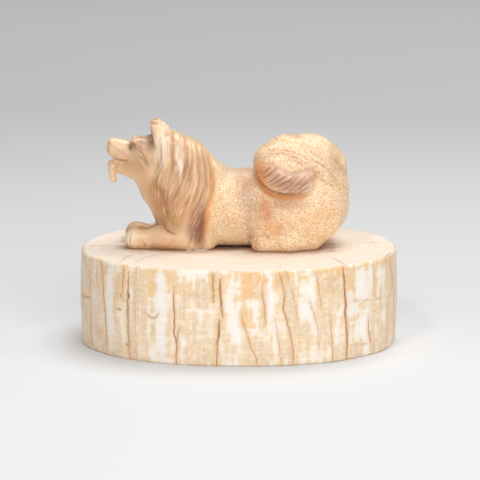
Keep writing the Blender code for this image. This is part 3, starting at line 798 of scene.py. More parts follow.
relief = add(tree, "Math", {0: cells.outputs["Distance"], 1: fine.outputs["Fac"]}, operation="ADD")
hair_relief = add(tree, "Math", {0: hairs, 1: combing}, operation="MULTIPLY")
hair_dents = add(tree, "Bump", {"Strength": 0.6, "Distance": 0.16 * MM,
                                "Height": hair_relief.outputs[0]}, invert=True)
dents = add(tree, "Bump", {"Strength": 0.25, "Distance": 0.06 * MM, "Height": relief.outputs[0],
                           "Normal": hair_dents.outputs["Normal"]})
shade(tree, {"Base Color": final, "Roughness": gloss.outputs["Result"], "IOR": 1.54,
             "Subsurface Weight": 0.3, "Subsurface Radius": (1.0, 0.5, 0.25),
             "Subsurface Scale": 1.1 * MM, "Normal": dents.outputs["Normal"]})
print("walrus ivory: grains of", GRAIN_MM, "mm and hairs of", HAIR_MM, "mm")

# %% Make the dog
to_place = np.array([0.0, DOG_SET_BACK, SLAB_HEIGHT + DOG_LIFT])
dog = make_piece("carved_dog", carved + to_place, dog_quads.tolist(), ivory, tone=tone, grain=grain,
                 combed=combed, hair=hair)
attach(dog, "root")
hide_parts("dog")

# %% [markdown]
# ## The slab
#
# The plinth is a slice sawn from a buried tusk and worn oval. Its wall shows what the ground did:
# cracks that run up and down, chalky bands, tan blocks with darker tide marks, fine level lines.
# The wall and both faces are one grid: an outline, scaled row by row. Each point knows how far
# round the wall it is, in millimetres from the middle of the front, and how high.

# %% The slab's outline and rows
OUTLINE_POWER, FLUTE, BARREL, EDGE_ROUND = 2.16, 0.25, 0.3, 0.6
AROUND, WALL_ROWS, EDGE_ROWS, FOOT_ROWS = 880, 62, 4, 5
OUTER_ROWS, MIDDLE_ROWS, MIDDLE_SHARE = 26, 8, 0.4
OUTLINE_SAMPLES = 7200


def slab_outline(count):
    """Superellipse, x = |cos|^(2/n) and y = |sin|^(2/n), faintly waved, in a unit box, even."""
    turn = np.linspace(0.0, 2.0 * math.pi, OUTLINE_SAMPLES, endpoint=False)
    c, s = np.cos(turn), np.sin(turn)
    waves = np.cos(13 * turn) + np.cos(7 * turn + 1.9) + np.sin(4 * turn)
    wave = 1.0 + FLUTE / SLAB_LENGTH * waves
    flat = np.stack([wave * np.sign(c) * np.abs(c) ** (2.0 / OUTLINE_POWER),
                     wave * np.sign(s) * np.abs(s) ** (2.0 / OUTLINE_POWER)], axis=1)
    flat = (flat - flat.min(axis=0)) / (flat.max(axis=0) - flat.min(axis=0)) - 0.5
    size = np.array([SLAB_LENGTH, SLAB_DEPTH])
    steps = np.linalg.norm(np.diff(flat * size, axis=0, append=flat[:1] * size), axis=1)
    along = np.concatenate([[0.0], np.cumsum(steps)])
    # the front's middle: the least |x|, with the back half put out of reach
    front = along[:-1][(np.abs(flat[:, 0]) + 9.0 * (flat[:, 1] > 0)).argmin()]
    arc = (np.arange(count) / count - 0.5) * along[-1]
    place = np.mod(arc + front, along[-1])
    closed = np.vstack([flat, flat[:1]])
    return np.stack([np.interp(place, along, closed[:, k]) for k in (0, 1)], axis=1), arc, along[-1]


outline, arc_of, girth = slab_outline(AROUND)
turns = np.linspace(0.0, math.pi / 2, EDGE_ROWS, endpoint=False)
rows = [(share, 0.0, EDGE_ROUND) for share in np.linspace(0.0, 1.0, FOOT_ROWS + 1)[1:]]
rows += [(1.0, EDGE_ROUND * (1 - math.cos(t)), EDGE_ROUND * (1 - math.sin(t))) for t in turns[1:]]
rows += [(1.0, h, 0.0) for h in np.linspace(EDGE_ROUND, SLAB_HEIGHT - EDGE_ROUND, WALL_ROWS)]
rows += [(1.0, SLAB_HEIGHT - EDGE_ROUND * (1 - math.sin(t)), EDGE_ROUND * (1 - math.cos(t)))
         for t in turns[1:]]
top_shares = (*np.linspace(1.0, MIDDLE_SHARE, OUTER_ROWS + 1)[:-1],
              *np.linspace(MIDDLE_SHARE, 0.0, MIDDLE_ROWS + 1)[:-1])
rows += [(share, SLAB_HEIGHT, EDGE_ROUND) for share in top_shares]
share, height, inset = (np.array(column)[:, None] for column in zip(*rows))
bow = BARREL * (2.0 * height / SLAB_HEIGHT - 1.0) ** 2
across = [(size - 2.0 * (inset + bow)) * share * outline[:, k]
          for k, size in enumerate((SLAB_LENGTH, SLAB_DEPTH))]
slab_points = np.stack([*across, np.broadcast_to(height, across[0].shape)], axis=2).reshape(-1, 3)
arc = np.broadcast_to(arc_of, across[0].shape).ravel()
slab_x, slab_y, rise = slab_points.T
wall = np.broadcast_to((share == 1.0) & (inset < EDGE_ROUND), across[0].shape).ravel()
top = np.broadcast_to((height == SLAB_HEIGHT), across[0].shape).ravel()
print("slab girth", round(girth, 1), "mm,", len(rows), "rows of", AROUND)

# %% [markdown]
# ## Cracks
#
# A tusk dries in shells, so its cracks run lengthwise and lean from one shell to the next. Each
# is a short chain of places on the wall or on the top face. They cut in a few tenths of a
# millimetre. The last number of each says what fills it: rusty earth above zero, grey-brown
# dust below. The side that the photograph doesn't show has its own cracks, fewer and plainer.

# %% Cracks on the front, as (round the wall, height), width, depth, earth
WALL_CRACKS = (
    ([(-46.2, 21.9), (-44.4, 20.9), (-43.0, 19.0)], 0.14, 0.1, -0.5),
    ([(-51.9, 12.0), (-46.5, 12.2), (-41.6, 12.7)], 0.16, 0.2, -0.8),
    ([(-41.5, 19.0), (-41.3, 12.7), (-40.9, 7.4), (-40.6, 1.1)], 0.17, 0.12, -0.6),
    ([(-38.1, 22.6), (-38.0, 20.1), (-38.3, 15.2)], 0.15, 0.1, 0.4),
    ([(-36.9, 22.6), (-36.1, 20.8), (-35.4, 17.0), (-34.8, 12.2), (-34.4, 6.2), (-34.3, 0.4)],
     0.17, 0.15, -0.75),
    ([(-28.7, 22.8), (-28.7, 20.4), (-29.0, 17.5), (-29.3, 15.0)], 0.18, 0.15, -0.75),
    ([(-27.3, 21.3), (-27.4, 14.6), (-27.4, 7.3), (-27.3, 0.3)], 0.19, 0.25, -0.95),
    ([(-25.2, 22.8), (-25.3, 19.6), (-25.4, 14.0), (-25.3, 6.0), (-25.2, 0.4)], 0.15, 0.08, -0.4),
    ([(-22.5, 12.0), (-21.8, 11.2), (-20.6, 10.9), (-19.8, 11.2), (-19.2, 12.2)], 0.3, 0.08, -0.5),
    ([(-20.4, 11.0), (-20.7, 8.6), (-21.1, 6.6)], 0.16, 0.05, -0.35),
    ([(-15.3, 18.8), (-15.5, 14.5), (-15.2, 11.0), (-15.4, 7.8), (-14.8, 5.0), (-15.0, 0.3)],
     0.19, 0.2, 0.85),
    ([(-13.9, 9.3), (-14.4, 8.1), (-14.6, 6.7), (-14.8, 5.0)], 0.2, 0.15, 0.6),
    ([(-6.2, 22.4), (-6.1, 18.4), (-6.0, 15.3)], 0.19, 0.15, 0.8),
    ([(-4.5, 21.3), (-4.4, 17.3), (-4.1, 13.9), (-3.9, 11.8)], 0.23, 0.25, 0.95),
    ([(-4.5, 11.4), (-4.7, 10.0), (-4.8, 7.7), (-5.2, 5.8), (-5.4, 0.3)], 0.27, 0.35, 1.0),
    ([(5.0, 21.4), (5.6, 16.6), (6.1, 13.7), (6.2, 10.1)], 0.24, 0.1, 0.5),
    ([(0.4, 13.0), (0.9, 10.9), (1.8, 8.3), (2.7, 4.9), (3.9, 2.5), (4.3, 0.4)], 0.14, 0.12, 0.6),
    ([(9.2, 22.8), (9.9, 20.8), (10.8, 17.2), (10.3, 14.1), (11.1, 11.2), (12.1, 7.5), (12.8, 3.9),
      (13.0, 0.3)], 0.17, 0.18, 0.75),
    ([(8.4, 11.8), (9.0, 7.7), (9.6, 4.1), (10.0, 0.4)], 0.14, 0.1, 0.5),
    ([(10.7, 22.8), (11.6, 21.2), (12.5, 17.8), (13.4, 13.9), (13.9, 10.5)], 0.15, 0.1, 0.5),
    ([(17.7, 22.8), (18.6, 21.2), (19.1, 16.7), (19.8, 13.0)], 0.15, 0.1, -0.55),
    ([(16.6, 15.5), (17.1, 14.0), (18.1, 11.2), (18.9, 8.3), (19.2, 2.2)], 0.14, 0.1, -0.5),
    ([(21.9, 12.4), (22.2, 6.8), (22.8, 2.6), (22.8, 0.4)], 0.16, 0.12, 0.55),
    ([(25.5, 22.8), (25.8, 19.6), (26.1, 15.2), (26.3, 13.2), (25.9, 11.9), (26.5, 8.6),
      (26.8, 3.8), (26.9, 0.2)], 0.27, 0.35, 0.95),
    ([(33.3, 10.0), (33.5, 6.3), (34.2, 3.5), (34.6, 3.0)], 0.18, 0.12, 0.7),
    ([(35.5, 3.3), (35.5, 0.2)], 0.14, 0.08, 0.4),
    ([(40.9, 11.7), (41.4, 4.8), (41.5, 1.0)], 0.17, 0.1, 0.5),
    ([(43.3, 22.0), (45.2, 17.4), (46.6, 10.9), (47.2, 0.9)], 0.4, 0.1, 0.45),
    ([(27.2, 14.3), (35.3, 13.4), (49.5, 12.6)], 0.14, 0.06, 0.4),
    ([(27.3, 3.6), (31.1, 3.2), (34.4, 2.8)], 0.14, 0.05, 0.4),
    ([(-27.45, 16.2), (-27.3, 14.9)], 0.42, 0.8, -1.0),
    ([(-29.7, 15.6), (-29.4, 15.1)], 0.25, 0.2, -0.8),
    ([(-30.6, 11.9), (-29.4, 11.9)], 0.2, 0.15, -0.8),
    ([(-28.1, 3.8), (-27.8, 3.5)], 0.28, 0.2, -0.9),
    ([(-37.1, 4.9), (-36.9, 4.6)], 0.25, 0.15, -0.6),
    ([(-43.6, 7.9), (-43.5, 6.8)], 0.22, 0.15, -0.6),
)
print(len(WALL_CRACKS), "cracks on the front")

# %% Cracks on the top face, as (x, y), width, depth, earth, and on the back
TOP_CRACKS = (
    ([(-37.8, -0.3), (-34.7, 0.4), (-30.4, 1.0)], 0.3, 0.2, -0.7),
    ([(-27.9, -18.3), (-27.4, -14.5), (-25.9, -10.5), (-23.1, -8.5)], 0.36, 0.1, -0.4),
    ([(-24.4, -20.8), (-23.8, -16.1), (-22.0, -12.7), (-18.8, -9.1), (-12.9, -5.8)],
     0.36, 0.08, -0.3),
    ([(25.0, -21.0), (23.5, -16.7), (22.2, -12.9)], 0.32, 0.12, 0.45),
    ([(27.6, 3.7), (31.2, 4.1), (35.4, 4.7)], 0.3, 0.1, -0.5),
    ([(9.3, -26.6), (9.8, -19.9), (9.0, -15.0)], 0.3, 0.05, 0.22),
    ([(12.0, 26.5), (9.0, 20.0), (9.5, 13.0)], 0.34, 0.1, 0.45),
    ([(-22.0, 22.0), (-18.0, 15.0), (-17.0, 9.0)], 0.34, 0.1, -0.38),
)
FRONT_REACH = 53.0  # the front's cracks and blocks end this far from its middle
rng = np.random.default_rng(23)
back_cracks = []
for place in np.linspace(FRONT_REACH, girth - FRONT_REACH, 17) + rng.uniform(-1.5, 1.5, 17):
    foot, head_end = rng.uniform(0.2, 6.0), rng.uniform(13.0, 22.8)
    heights = np.linspace(head_end, foot, 6)
    line = place + np.cumsum(rng.normal(0.0, 0.45, 6))
    back_cracks.append((list(zip(line, heights)), rng.uniform(0.14, 0.26), rng.uniform(0.08, 0.3),
                        rng.uniform(0.4, 0.95) * rng.choice([-1.0, 1.0])))
print(len(TOP_CRACKS), "cracks on the top and", len(back_cracks), "on the back")

# %% Cut the cracks
def chain(u, v, line, width):
    """A bell of the distance to a chain of places, thinner at its ends, and a wider one."""
    line, found, beside_it = np.asarray(line, float), np.zeros(len(u)), np.zeros(len(u))
    for k, (a, b) in enumerate(zip(line, line[1:])):
        d = b - a
        along = np.clip(((u - a[0]) * d[0] + (v - a[1]) * d[1]) / (d @ d), 0.0, 1.0)
        away = (u - a[0] - along * d[0]) ** 2 + (v - a[1] - along * d[1]) ** 2
        place = np.clip((k + along) / (len(line) - 1), 0.02, 0.98)
        found = np.maximum(found, np.exp(-away / (width * np.sin(math.pi * place) ** 0.35) ** 2))
        beside_it = np.maximum(beside_it, np.exp(-away / 0.75**2))
    return found, beside_it


jog = (0.22 * (mottle(arc / 3.0, rise / 0.9, 11) - 0.5)
       + 0.14 * (mottle(arc / 2.0, rise / 0.4, 12) - 0.5))
gape, earth, dust, halo = np.zeros((4, len(arc)))
for u, v, here, cracks in ((arc + jog, rise, wall, WALL_CRACKS),
                           (arc % girth + jog, rise, wall, back_cracks),
                           (slab_x, slab_y, top, TOP_CRACKS)):
    for line, width, deep, dirt in cracks:
        line_near, around_line = chain(u, v, line, 1.05 * width)
        line_near, around_line = here * line_near, here * around_line
        halo = np.maximum(halo, abs(dirt) * around_line)
        gape = np.maximum(gape, deep * line_near)
        earth = np.maximum(earth, dirt * line_near)
        dust = np.maximum(dust, -dirt * line_near)
print("the deepest crack is", round(gape.max(), 2), "mm")

# %% [markdown]
# ## Bands and tide marks
#
# Water moved through the buried tusk and dried at edges, which left pale blocks with tan rims and
# rusty blots under the top edge. A block is a rounded rectangle on the unrolled wall. Value noise
# frays its rim. The rectangles on the front are placed from the photograph, and the back's are
# drawn by a seeded random generator.

# %% Blocks and blots, as from and to round the wall, from and to in height, share
PALE_BLOCKS = (
    (-33.8, -31.5, 1.0, 20.0, 0.9), (-19.4, -17.2, 2.0, 21.0, 0.9), (-2.1, 0.2, 6.0, 21.2, 1.0),
    (2.6, 4.6, 9.5, 15.5, 0.85), (6.8, 8.4, 7.0, 20.0, 0.8), (14.0, 16.8, 10.5, 19.0, 0.9),
    (29.2, 33.4, 4.0, 10.2, 0.9), (29.0, 34.6, 13.8, 21.8, 0.85), (23.0, 25.2, 4.0, 12.5, 0.6),
    (-12.5, -6.5, 12.4, 14.0, 0.6), (-13.0, -9.0, 8.6, 10.2, 0.6),
    (-40.2, -38.6, 1.5, 20.0, 0.7), (-22.6, -21.4, 1.5, 8.0, 0.6), (2.0, 4.0, 0.5, 4.5, 0.6),
    (36.5, 40.5, 14.0, 21.0, 0.6), (-31.0, -28.0, 10.5, 13.0, 0.6),
    (-32.5, -29.5, 20.5, 22.8, 0.7), (-14.5, -8.0, 20.0, 22.8, 0.6),
    (15.0, 23.0, 0.5, 4.0, 0.5), (-18.5, -16.5, 0.5, 6.0, 0.6), (-13.0, -7.5, 5.2, 6.6, 0.5),
)
TAN_BLOCKS = (
    (-31.2, -23.2, 0.0, 20.0, 0.6), (-14.8, -5.4, 0.0, 20.5, 0.75), (-26.5, -23.2, 0.0, 22.0, 0.8),
    (-4.0, -2.3, 0.0, 21.0, 0.8), (8.8, 13.2, 0.0, 22.0, 0.65), (19.6, 24.8, 0.0, 15.0, 0.6),
    (35.4, 48.0, 0.0, 12.0, 0.85), (26.5, 35.0, 0.0, 3.0, 0.6), (0.4, 7.0, 0.0, 6.5, 0.7),
    (-50.0, -34.0, 0.0, 11.5, 0.65), (13.5, 19.0, 0.0, 3.5, 0.6), (-52.0, -42.0, 12.5, 22.0, 0.7),
    (34.6, 36.4, 13.8, 22.0, 0.6), (43.0, 52.0, 12.5, 22.0, 0.6), (-22.8, -19.8, 14.0, 22.0, 0.5),
)
BLOTS = (
    ("#efc07a", -22.4, -20.0, 16.5, 22.4, 0.8), ("#eec48c", -17.0, -14.5, 19.5, 22.3, 0.6),
    ("#e9b476", -6.6, -5.6, 17.0, 22.2, 0.5), ("#ecbc7c", -4.2, -2.6, 17.5, 22.2, 0.6),
    ("#f5b864", 0.3, 3.2, 16.2, 22.4, 0.8), ("#f3b456", 4.4, 6.1, 20.2, 22.4, 0.85),
    ("#efb869", 8.2, 12.6, 19.0, 22.6, 0.7), ("#f2c486", 0.3, 3.3, 9.6, 13.5, 0.8),
    ("#eeba6c", 23.6, 25.6, 20.2, 22.6, 0.7), ("#edb868", 26.3, 28.8, 16.5, 22.2, 0.75),
    ("#f0bd70", 18.8, 23.0, 21.4, 22.7, 0.75),
    ("#f0bc6c", 29.5, 34.0, 21.6, 22.7, 0.6), ("#edb96c", 38.0, 42.5, 20.8, 22.5, 0.6),
    ("#eabb80", 34.8, 36.2, 13.8, 22.2, 0.7), ("#eabd88", 43.0, 44.8, 14.0, 22.2, 0.6),
    ("#e0b67a", -36.0, -33.5, 19.4, 22.2, 0.6), ("#ddb071", -31.5, -29.4, 14.5, 20.0, 0.5),
    ("#f3bf6a", 13.6, 17.4, 20.6, 21.4, 0.7), ("#f4cb88", 13.8, 16.8, 19.3, 20.0, 0.6),
    ("#f0c488", 14.0, 17.6, 6.2, 7.0, 0.6), ("#eebf84", -1.8, -0.2, 3.2, 5.5, 0.5),
    ("#ecb87c", 4.9, 6.6, 8.0, 21.0, 0.4), ("#dcb080", 19.6, 23.0, 16.5, 20.5, 0.5),
    ("#d8a468", -30.6, -29.0, 13.6, 16.0, 0.5), ("#e3b070", -13.0, -5.0, 16.6, 17.6, 0.45),
)

print(len(PALE_BLOCKS), "pale and", len(TAN_BLOCKS), "tan blocks,", len(BLOTS), "blots in front")

# %% Blocks on the back
def block(low_arc, high_arc, low, high, fray):
    """How far inside a rounded rectangle on the wall each point is, in mm, its rim frayed."""
    across_it = np.abs(arc - (low_arc + high_arc) / 2) - (high_arc - low_arc) / 2
    up_it = np.abs(rise - (low + high) / 2) - (high - low) / 2
    outside = np.hypot(np.maximum(across_it + 0.6, 0.0), np.maximum(up_it + 0.6, 0.0)) - 0.6
    return -(outside + np.minimum(np.maximum(across_it, up_it), 0.0)) + fray


def around(cell, tall, seed):
    """Mottle on the unrolled wall, in cells of that many millimetres, closing on itself."""
    count = int(round(girth / cell))
    return mottle((arc / girth + 0.5) * count, rise / tall, seed, count)


rng = np.random.default_rng(31)
far_pale, far_tan, far_blots = [], [], []
for place in np.arange(FRONT_REACH - 4.0, girth - FRONT_REACH, 2.6):
    middle = (place + rng.uniform(-1.0, 1.0) + girth / 2) % girth - girth / 2
    half, low = rng.uniform(0.7, 2.0), rng.uniform(0.0, 12.0)
    where_it_is = (middle - half, middle + half, low, low + rng.uniform(5.0, 12.0), 0.8)
    (far_pale if rng.random() < 0.45 else far_tan).append(where_it_is)
    if rng.random() < 0.45:
        far_blots.append(("#f0c282", middle - half, middle + half, rng.uniform(16.0, 20.0),
                          22.3, 0.6))
print(len(far_pale), "pale and", len(far_tan), "tan blocks on the back")

# %% How pale each place of the slab is
fray = 0.8 * (around(1.3, 2.4, 42) - 0.5) + 0.7 * (around(0.7, 0.8, 44) - 0.5)
speckle = around(0.5, 0.45, 43)
pallor = (0.47 + 0.5 * (around(2.0, 9.0, 41) - 0.5) + 0.35 * (around(1.1, 2.6, 45) - 0.5)
          + 0.25 * fray)
pallor += 0.4 * (around(0.75, 7.0, 46) - 0.5) + 0.35 * (around(2.6, 0.7, 47) - 0.5)
TAN_PALLOR, CHALK_PALLOR, TIDE_PALLOR, TIDE_WIDTH = 0.27, 0.95, 0.43, 0.07
for target, blocks in ((TAN_PALLOR, (*TAN_BLOCKS, *far_tan)),
                       (CHALK_PALLOR, (*PALE_BLOCKS, *far_pale))):
    for a0, a1, z0, z1, strength in blocks:
        inside = smooth(block(a0, a1, z0, z1, 1.5 * fray) / 3.2 + 0.42)
        pallor += (target + 0.9 * (pallor - 0.5) - pallor) * 0.9 * strength * inside
tan_share = wall * smooth((0.55 - pallor) / 0.3)
print("mean pallor of the wall", round(float(pallor[wall].mean()), 2))

# %% Colour the wall
PALLOR_STOPS = ((0.0, "#eed9be"), (0.2, "#f2dfc4"), (0.33, "#f5dcb4"), (0.45, "#f7e5cb"),
                (0.62, "#f9ecdc"), (0.95, "#faf3ea"))
at, stops = np.array([a for a, _ in PALLOR_STOPS]), np.array([linear(h) for _, h in PALLOR_STOPS])
slab_tone = np.stack([np.interp(pallor, at, stops[:, k]) for k in range(3)], axis=1)
specked = smooth((0.5 - pallor) / 0.3) * smooth((speckle - 0.5) / 0.2)
tide = np.exp(-(((pallor - TIDE_PALLOR) / TIDE_WIDTH) ** 2))
tide *= 0.25 + 0.75 * smooth((rise - 11.0) / 8.0)
slab_tone = lay(slab_tone, (("#dccab9", 0.4 * wall * smooth((-20.0 - slab_x) / 14.0)),
                            ("#e0bf98", 0.18 * wall * specked), ("#f4bd72", wall * 0.55 * tide)))
for hex_code, a0, a1, z0, z1, strength in (*BLOTS, *far_blots):
    inside = smooth(block(a0, a1, z0, z1, 2.2 * fray) / 1.2 + 0.4)
    slab_tone = mix(slab_tone, hex_code, wall * strength * inside * (0.7 + 0.4 * speckle))
print("wall tone", slab_tone[wall].mean(axis=0).round(2))

# %% [markdown]
# ## Top face
#
# The sawn face shows faint rings of growth. Round the dog's feet it has a stain with painted
# shadow, and a painted shadow lies under its belly. The edge of the one round the feet follows the
# dog, because it comes from the dog's own field just above the slab.

# %% Colour the top face and the cracks
RING_RATE = 115.0
from_rim = np.clip(1.0 - np.broadcast_to(share, across[0].shape).ravel(), 0.0, 1.0)
ring = np.sin(from_rim * RING_RATE + 3.0 * mottle(arc / 9.0 + 30.0, from_rim * 8.0, 51))
face_tone = np.tile(linear("#f4e5d6"), (len(arc), 1))
face_tone = mix(face_tone, "#e3c8a4", 0.35 * smooth(ring * 1.6 - 0.4))
slab_tone = np.where(top[:, None], face_tone, slab_tone)
beside_dog = dog_field(np.stack([slab_x, slab_y - DOG_SET_BACK, np.full(len(arc), 0.6)], axis=1))
# Round the feet: a stain with painted shadow, its edge frayed by a mottle; right at the feet, a
# painted contact shadow
edge_mottle = mottle(slab_x / 1.7 + 60.0, slab_y / 1.3 + 60.0, 61)
stain_and_shadow_edge = smooth((3.4 * edge_mottle + 0.6 - beside_dog) / 1.1)
# A painted shadow on the top face under the belly
belly = np.hypot((slab_x + 2.5) / 7.0, (slab_y - DOG_SET_BACK) / 7.5)
slab_tone = lay(slab_tone, (
    ("#cba389", top * 0.6 * stain_and_shadow_edge),
    ("#a2714f", top * 0.75 * np.exp(-np.maximum(beside_dog, 0.0) / 0.9)),
    ("#7b5138", top * 0.85 * smooth((1.25 - belly) / 0.5)),
    ("#ecb673", 0.6 * wall * halo),
    ("#8c6549", 0.9 * smooth(dust * 1.3)),
    ("#a05c26", 0.95 * smooth(earth * 1.3)),
))
print("slab tone", slab_tone.mean(axis=0).round(2))

# %% [markdown]
# ## Fossil ivory
#
# Buried ivory turns matt and chalky, with a faint sheen where it was rubbed. The saw and the
# tooth's own layers leave level lines on the wall, some closer than 0.2 mm. A render can't show
# those, so they are drawn coarser, half a millimetre apart, as a noise stretched along the
# unrolled wall. The same noise lifts the surface a little.

# %% Fossil ivory
LINE_MM, CRUMB_MM = 0.55, 0.38
fossil, tree = new_material("fossil_ivory_sawn")
unrolled = add(tree, "UVMap", uv_map="unrolled").outputs["UV"]
base = add(tree, "Attribute", attribute_name="tone").outputs["Color"]
in_tan = add(tree, "Attribute", attribute_name="tan").outputs["Fac"]
where = add(tree, "TexCoord").outputs["Object"]
level = add(tree, "Mapping", {"Vector": unrolled, "Scale": (0.8, 1.0 / LINE_MM, 1.0)})
lines = add(tree, "TexNoise", {"Vector": level.outputs[0], "Scale": 1.0,
                               "Detail": 2.0}).outputs["Fac"]
upright = add(tree, "Mapping", {"Vector": unrolled, "Scale": (2.2, 0.12, 1.0)})
fibres = add(tree, "TexNoise", {"Vector": upright.outputs[0], "Scale": 1.0,
                                "Detail": 3.0}).outputs["Fac"]
crumbs = add(tree, "TexNoise", {"Vector": where, "Scale": 1.0 / (CRUMB_MM * MM),
                                "Detail": 2.0}).outputs["Fac"]
with_lines = streak(tree, base, "#dbb48c", lines, 0.38, 0.66, 0.6, in_tan)
with_fibres = streak(tree, with_lines, "#e9c497", fibres, 0.45, 0.75, 0.45, in_tan)
with_pale = streak(tree, with_fibres, "#fbf0e0", fibres, 0.47, 0.3, 0.6, in_tan)
final = streak(tree, with_pale, "#fff8ea", crumbs, 0.46, 0.66, 0.18)
height_mix = add(tree, "Math", {0: lines, 1: fibres}, operation="ADD")
dents = add(tree, "Bump", {"Strength": 0.35, "Distance": 0.12 * MM,
                           "Height": height_mix.outputs[0]})
shade(tree, {"Base Color": final, "Roughness": 0.58, "IOR": 1.54,
             "Subsurface Weight": 0.1, "Subsurface Radius": (1.0, 0.7, 0.45),
             "Subsurface Scale": 0.8 * MM, "Normal": dents.outputs["Normal"]})
print("fossil ivory: lines", LINE_MM, "mm apart")

# %% Make the slab
inward = -slab_points * np.array([1.0 / SLAB_LENGTH**2, 1.0 / SLAB_DEPTH**2, 0.0])
inward /= np.linalg.norm(inward, axis=1, keepdims=True) + 1e-9
inward[top] = (0.0, 0.0, -1.0)
worn = wall * (0.2 * around(2.0, 12.0, 61) + 0.05 * np.clip(0.6 + fray, 0.0, 1.2) + 0.05)
slab_shape = slab_points + inward * (gape + worn)[:, None]
ends = np.array([[0.0, 0.0, 0.0], [0.0, 0.0, SLAB_HEIGHT]])
row, column = np.meshgrid(np.arange(len(rows) - 1), np.arange(AROUND), indexing="ij")
after = (column + 1) % AROUND
faces = np.stack([row * AROUND + column, row * AROUND + after, (row + 1) * AROUND + after,
                  (row + 1) * AROUND + column], axis=2).reshape(-1, 4).tolist()
ring_of = np.arange(AROUND)
last = (len(rows) - 1) * AROUND
faces += [[last + AROUND, b, a] for a, b in zip(ring_of, np.roll(ring_of, -1))]
faces += [[last + AROUND + 1, last + a, last + b] for a, b in zip(ring_of, np.roll(ring_of, -1))]
slab_piece = make_piece("fossil_slab", np.vstack([slab_shape, ends]),
                        [[int(n) for n in face] for face in faces], fossil,
                        tone=np.vstack([slab_tone, linear("#f4e6d0"), linear("#d9bd98")]),
                        tan=np.append(tan_share, [0.0, 0.0]))
corner = np.empty(len(slab_piece.data.loops), dtype=int)
slab_piece.data.loops.foreach_get("vertex_index", corner)
flat_arc = np.append(arc, [0.0, 0.0])[corner]
starts = np.array([p.loop_start for p in slab_piece.data.polygons])
counts = np.array([p.loop_total for p in slab_piece.data.polygons])
highest = np.repeat(np.maximum.reduceat(flat_arc, starts), counts)
past_seam = (highest > girth * 0.45) & (flat_arc < -girth * 0.45)
flat_arc = np.where(past_seam, flat_arc + girth, flat_arc)
unrolled_map = np.stack([flat_arc, np.append(rise, [0.0, SLAB_HEIGHT])[corner]], axis=1)
slab_piece.data.uv_layers.new(name="unrolled").data.foreach_set("uv", unrolled_map.ravel())
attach(slab_piece, "root")
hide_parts("slab")

# %% [markdown]
# ## Glue
#
# Whoever mounted the dog used a clear glue, and a little came out by the near elbow and the near
# hind foot, where it dried in whitish crumbs. Each trace is a low mound on a round grid, with its
# edge and its top broken up by noise.

# %% Dried glue
glue, tree = new_material("dried_clear_glue")
where = add(tree, "TexCoord").outputs["Object"]
haze = add(tree, "TexNoise", {"Vector": where, "Scale": 1.0 / (0.6 * MM), "Detail": 3.0})
milky = add(tree, "Mix", {0: haze.outputs["Fac"], 6: colour("#dcc4ae"), 7: colour("#fffaf3")},
            data_type="RGBA")
dents = add(tree, "Bump", {"Strength": 0.5, "Distance": 0.15 * MM, "Height": haze.outputs["Fac"]})
shade(tree, {"Base Color": milky.outputs[2], "Roughness": 0.2, "IOR": 1.48,
             "Transmission Weight": 0.25, "Normal": dents.outputs["Normal"]})


def glue_trace(name, middle, reach, thick, seed):
    """Mound on a round grid: height falls with the square of the way out, and is made lumpy."""
    rings, spokes = 14, 72
    out = np.linspace(1.0, 0.0, rings, endpoint=False)[:, None]
    turn = np.linspace(0.0, 2.0 * math.pi, spokes, endpoint=False)[None, :]
    edge = 0.7 + 0.55 * mottle(turn * 9.0 / math.pi, out * 0.0 + seed, seed, 18)
    px = middle[0] + reach[0] * out * edge * np.cos(turn)
    py = middle[1] + reach[1] * out * edge * np.sin(turn)
    lump = 0.35 + 0.65 * mottle(px / 0.7 + 40.0, py / 0.7 + 40.0, seed + 1)
    pz = SLAB_HEIGHT + thick * (1.0 - out**2) * lump
    points = np.stack([px, py, pz], axis=2).reshape(-1, 3)
    points = np.vstack([points, [middle[0], middle[1], SLAB_HEIGHT + 0.6 * thick]])
    i, j = np.meshgrid(np.arange(rings - 1), np.arange(spokes), indexing="ij")
    k = (j + 1) % spokes
    faces = np.stack([i * spokes + j, i * spokes + k, (i + 1) * spokes + k, (i + 1) * spokes + j],
                     axis=2).reshape(-1, 4).tolist()
    rim = (rings - 1) * spokes
    faces += [[rim + n, rim + (n + 1) % spokes, rings * spokes] for n in range(spokes)]
    faces.append(list(range(spokes))[::-1])
    made = make_piece(name, points, faces, glue)
    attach(made, "root")


glue_trace("glue_trace_elbow", (-9.3, -4.6), (1.9, 1.2), 0.55, 71)
glue_trace("glue_trace_elbow_small", (-11.9, -5.4), (0.9, 0.6), 0.4, 72)
glue_trace("glue_trace_foot", (6.6, -5.9), (2.2, 0.7), 0.5, 73)

# %% [markdown]
# ## Floor, light and camera
#
# The photograph has a pale seamless ground that is near white in front and falls off to grey
# behind. Here a flat disc does that: its own colour darkens with the distance from a place just in
# front of the slab, as a pool of light would. A large soft light hangs above, a little behind and
# to the right. A wider one fills from the front. A small one at the front left adds glints to the
# polished hair of the tail's tip, whose ridges also carry painted highlights. Three lamps of three
# sizes are easier to balance than one picture of a sky.

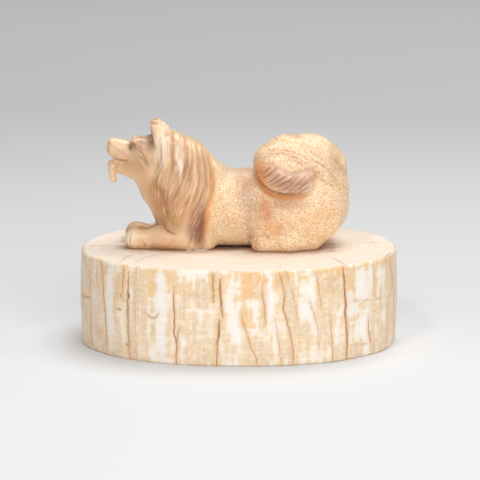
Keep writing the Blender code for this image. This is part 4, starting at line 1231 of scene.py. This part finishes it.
# %% The ground
ground_material, tree = new_material("pale_paper_ground")
where = add(tree, "TexCoord").outputs["Object"]
centred = add(tree, "Mapping", {"Vector": where, "Location": (0.0, 0.15, 0.0)})
far = add(tree, "VectorMath", {0: centred.outputs[0]}, operation="LENGTH")
ramp = add(tree, "ValToRGB", {"Fac": far.outputs["Value"]})
STOPS = ((0.0, "#e6e7e9"), (0.09, "#e5e6e8"), (0.14, "#e3e4e6"), (0.19, "#dbdcdf"),
         (0.24, "#dadbde"), (0.31, "#d5d6d7"), (0.39, "#cdcecf"), (0.48, "#c7c7c8"),
         (0.59, "#cdcecf"), (0.76, "#dcdcdc"))
for k, (place, hex_code) in enumerate(STOPS):
    stop = ramp.color_ramp.elements[k] if k < 2 else ramp.color_ramp.elements.new(place)
    stop.position, stop.color = place, colour(hex_code)
shade(tree, {"Base Color": ramp.outputs["Color"], "Roughness": 1.0, "Specular IOR Level": 0.0})
GROUND_RADIUS, GROUND_SIDES = 4000.0, 96
turn = np.linspace(0.0, 2.0 * math.pi, GROUND_SIDES, endpoint=False)
edge = np.stack([GROUND_RADIUS * np.cos(turn), GROUND_RADIUS * np.sin(turn), 0.0 * turn], axis=1)
ground = make_piece("ground", edge, [list(range(GROUND_SIDES))], ground_material)

# %% Lights
LIGHT_AIM = (0.0, 0.0, 0.03)


def soft_light(name, place, size, power, hex_code):
    """A square area light at a place in metres, turned to face the figurine."""
    data = bpy.data.lights.new(name, "AREA")
    data.shape, data.size, data.energy = "SQUARE", size, power
    data.color = linear(hex_code)
    made = bpy.data.objects.new(name, data)
    made.location = place
    towards = Vector(LIGHT_AIM) - Vector(place)
    made.rotation_euler = towards.to_track_quat("-Z", "Y").to_euler()
    bpy.context.scene.collection.objects.link(made)


soft_light("light_above", (0.13, 0.17, 0.72), 0.42, 3.15, "#fffdf9")
soft_light("light_front", (0.25, -0.87, 0.42), 0.7, 4.5, "#ffffff")
soft_light("light_spark", (-0.30, -0.52, 0.72), 0.14, 1.3, "#fffaf2")
world = bpy.data.worlds.new("pale_room")
world.use_nodes = True
world.node_tree.nodes["Background"].inputs["Color"].default_value = colour("#f2f4f7")
world.node_tree.nodes["Background"].inputs["Strength"].default_value = 0.4
bpy.context.scene.world = world

# %% Camera
CAMERA_TILT = math.radians(12.2095)
CAMERA_AIM = (0.2133 * MM, 0.0, 24.2414 * MM)
CAMERA_AWAY = 680.4837 * MM
LENS_MM, SENSOR_MM = 211.987, 36.0
camera = bpy.data.objects.new("camera", bpy.data.cameras.new("camera"))
camera.data.lens, camera.data.sensor_width = LENS_MM, SENSOR_MM
camera.data.clip_start, camera.data.clip_end = 0.01, 20.0
camera.location = (CAMERA_AIM[0], CAMERA_AIM[1] - CAMERA_AWAY * math.cos(CAMERA_TILT),
                   CAMERA_AIM[2] + CAMERA_AWAY * math.sin(CAMERA_TILT))
camera.rotation_euler = (math.pi / 2 - CAMERA_TILT, 0.0, 0.0)
bpy.context.scene.collection.objects.link(camera)
bpy.context.scene.camera = camera
bpy.context.scene.view_settings.view_transform = "Standard"
print("camera", round(math.degrees(CAMERA_TILT), 1), "degrees above level")
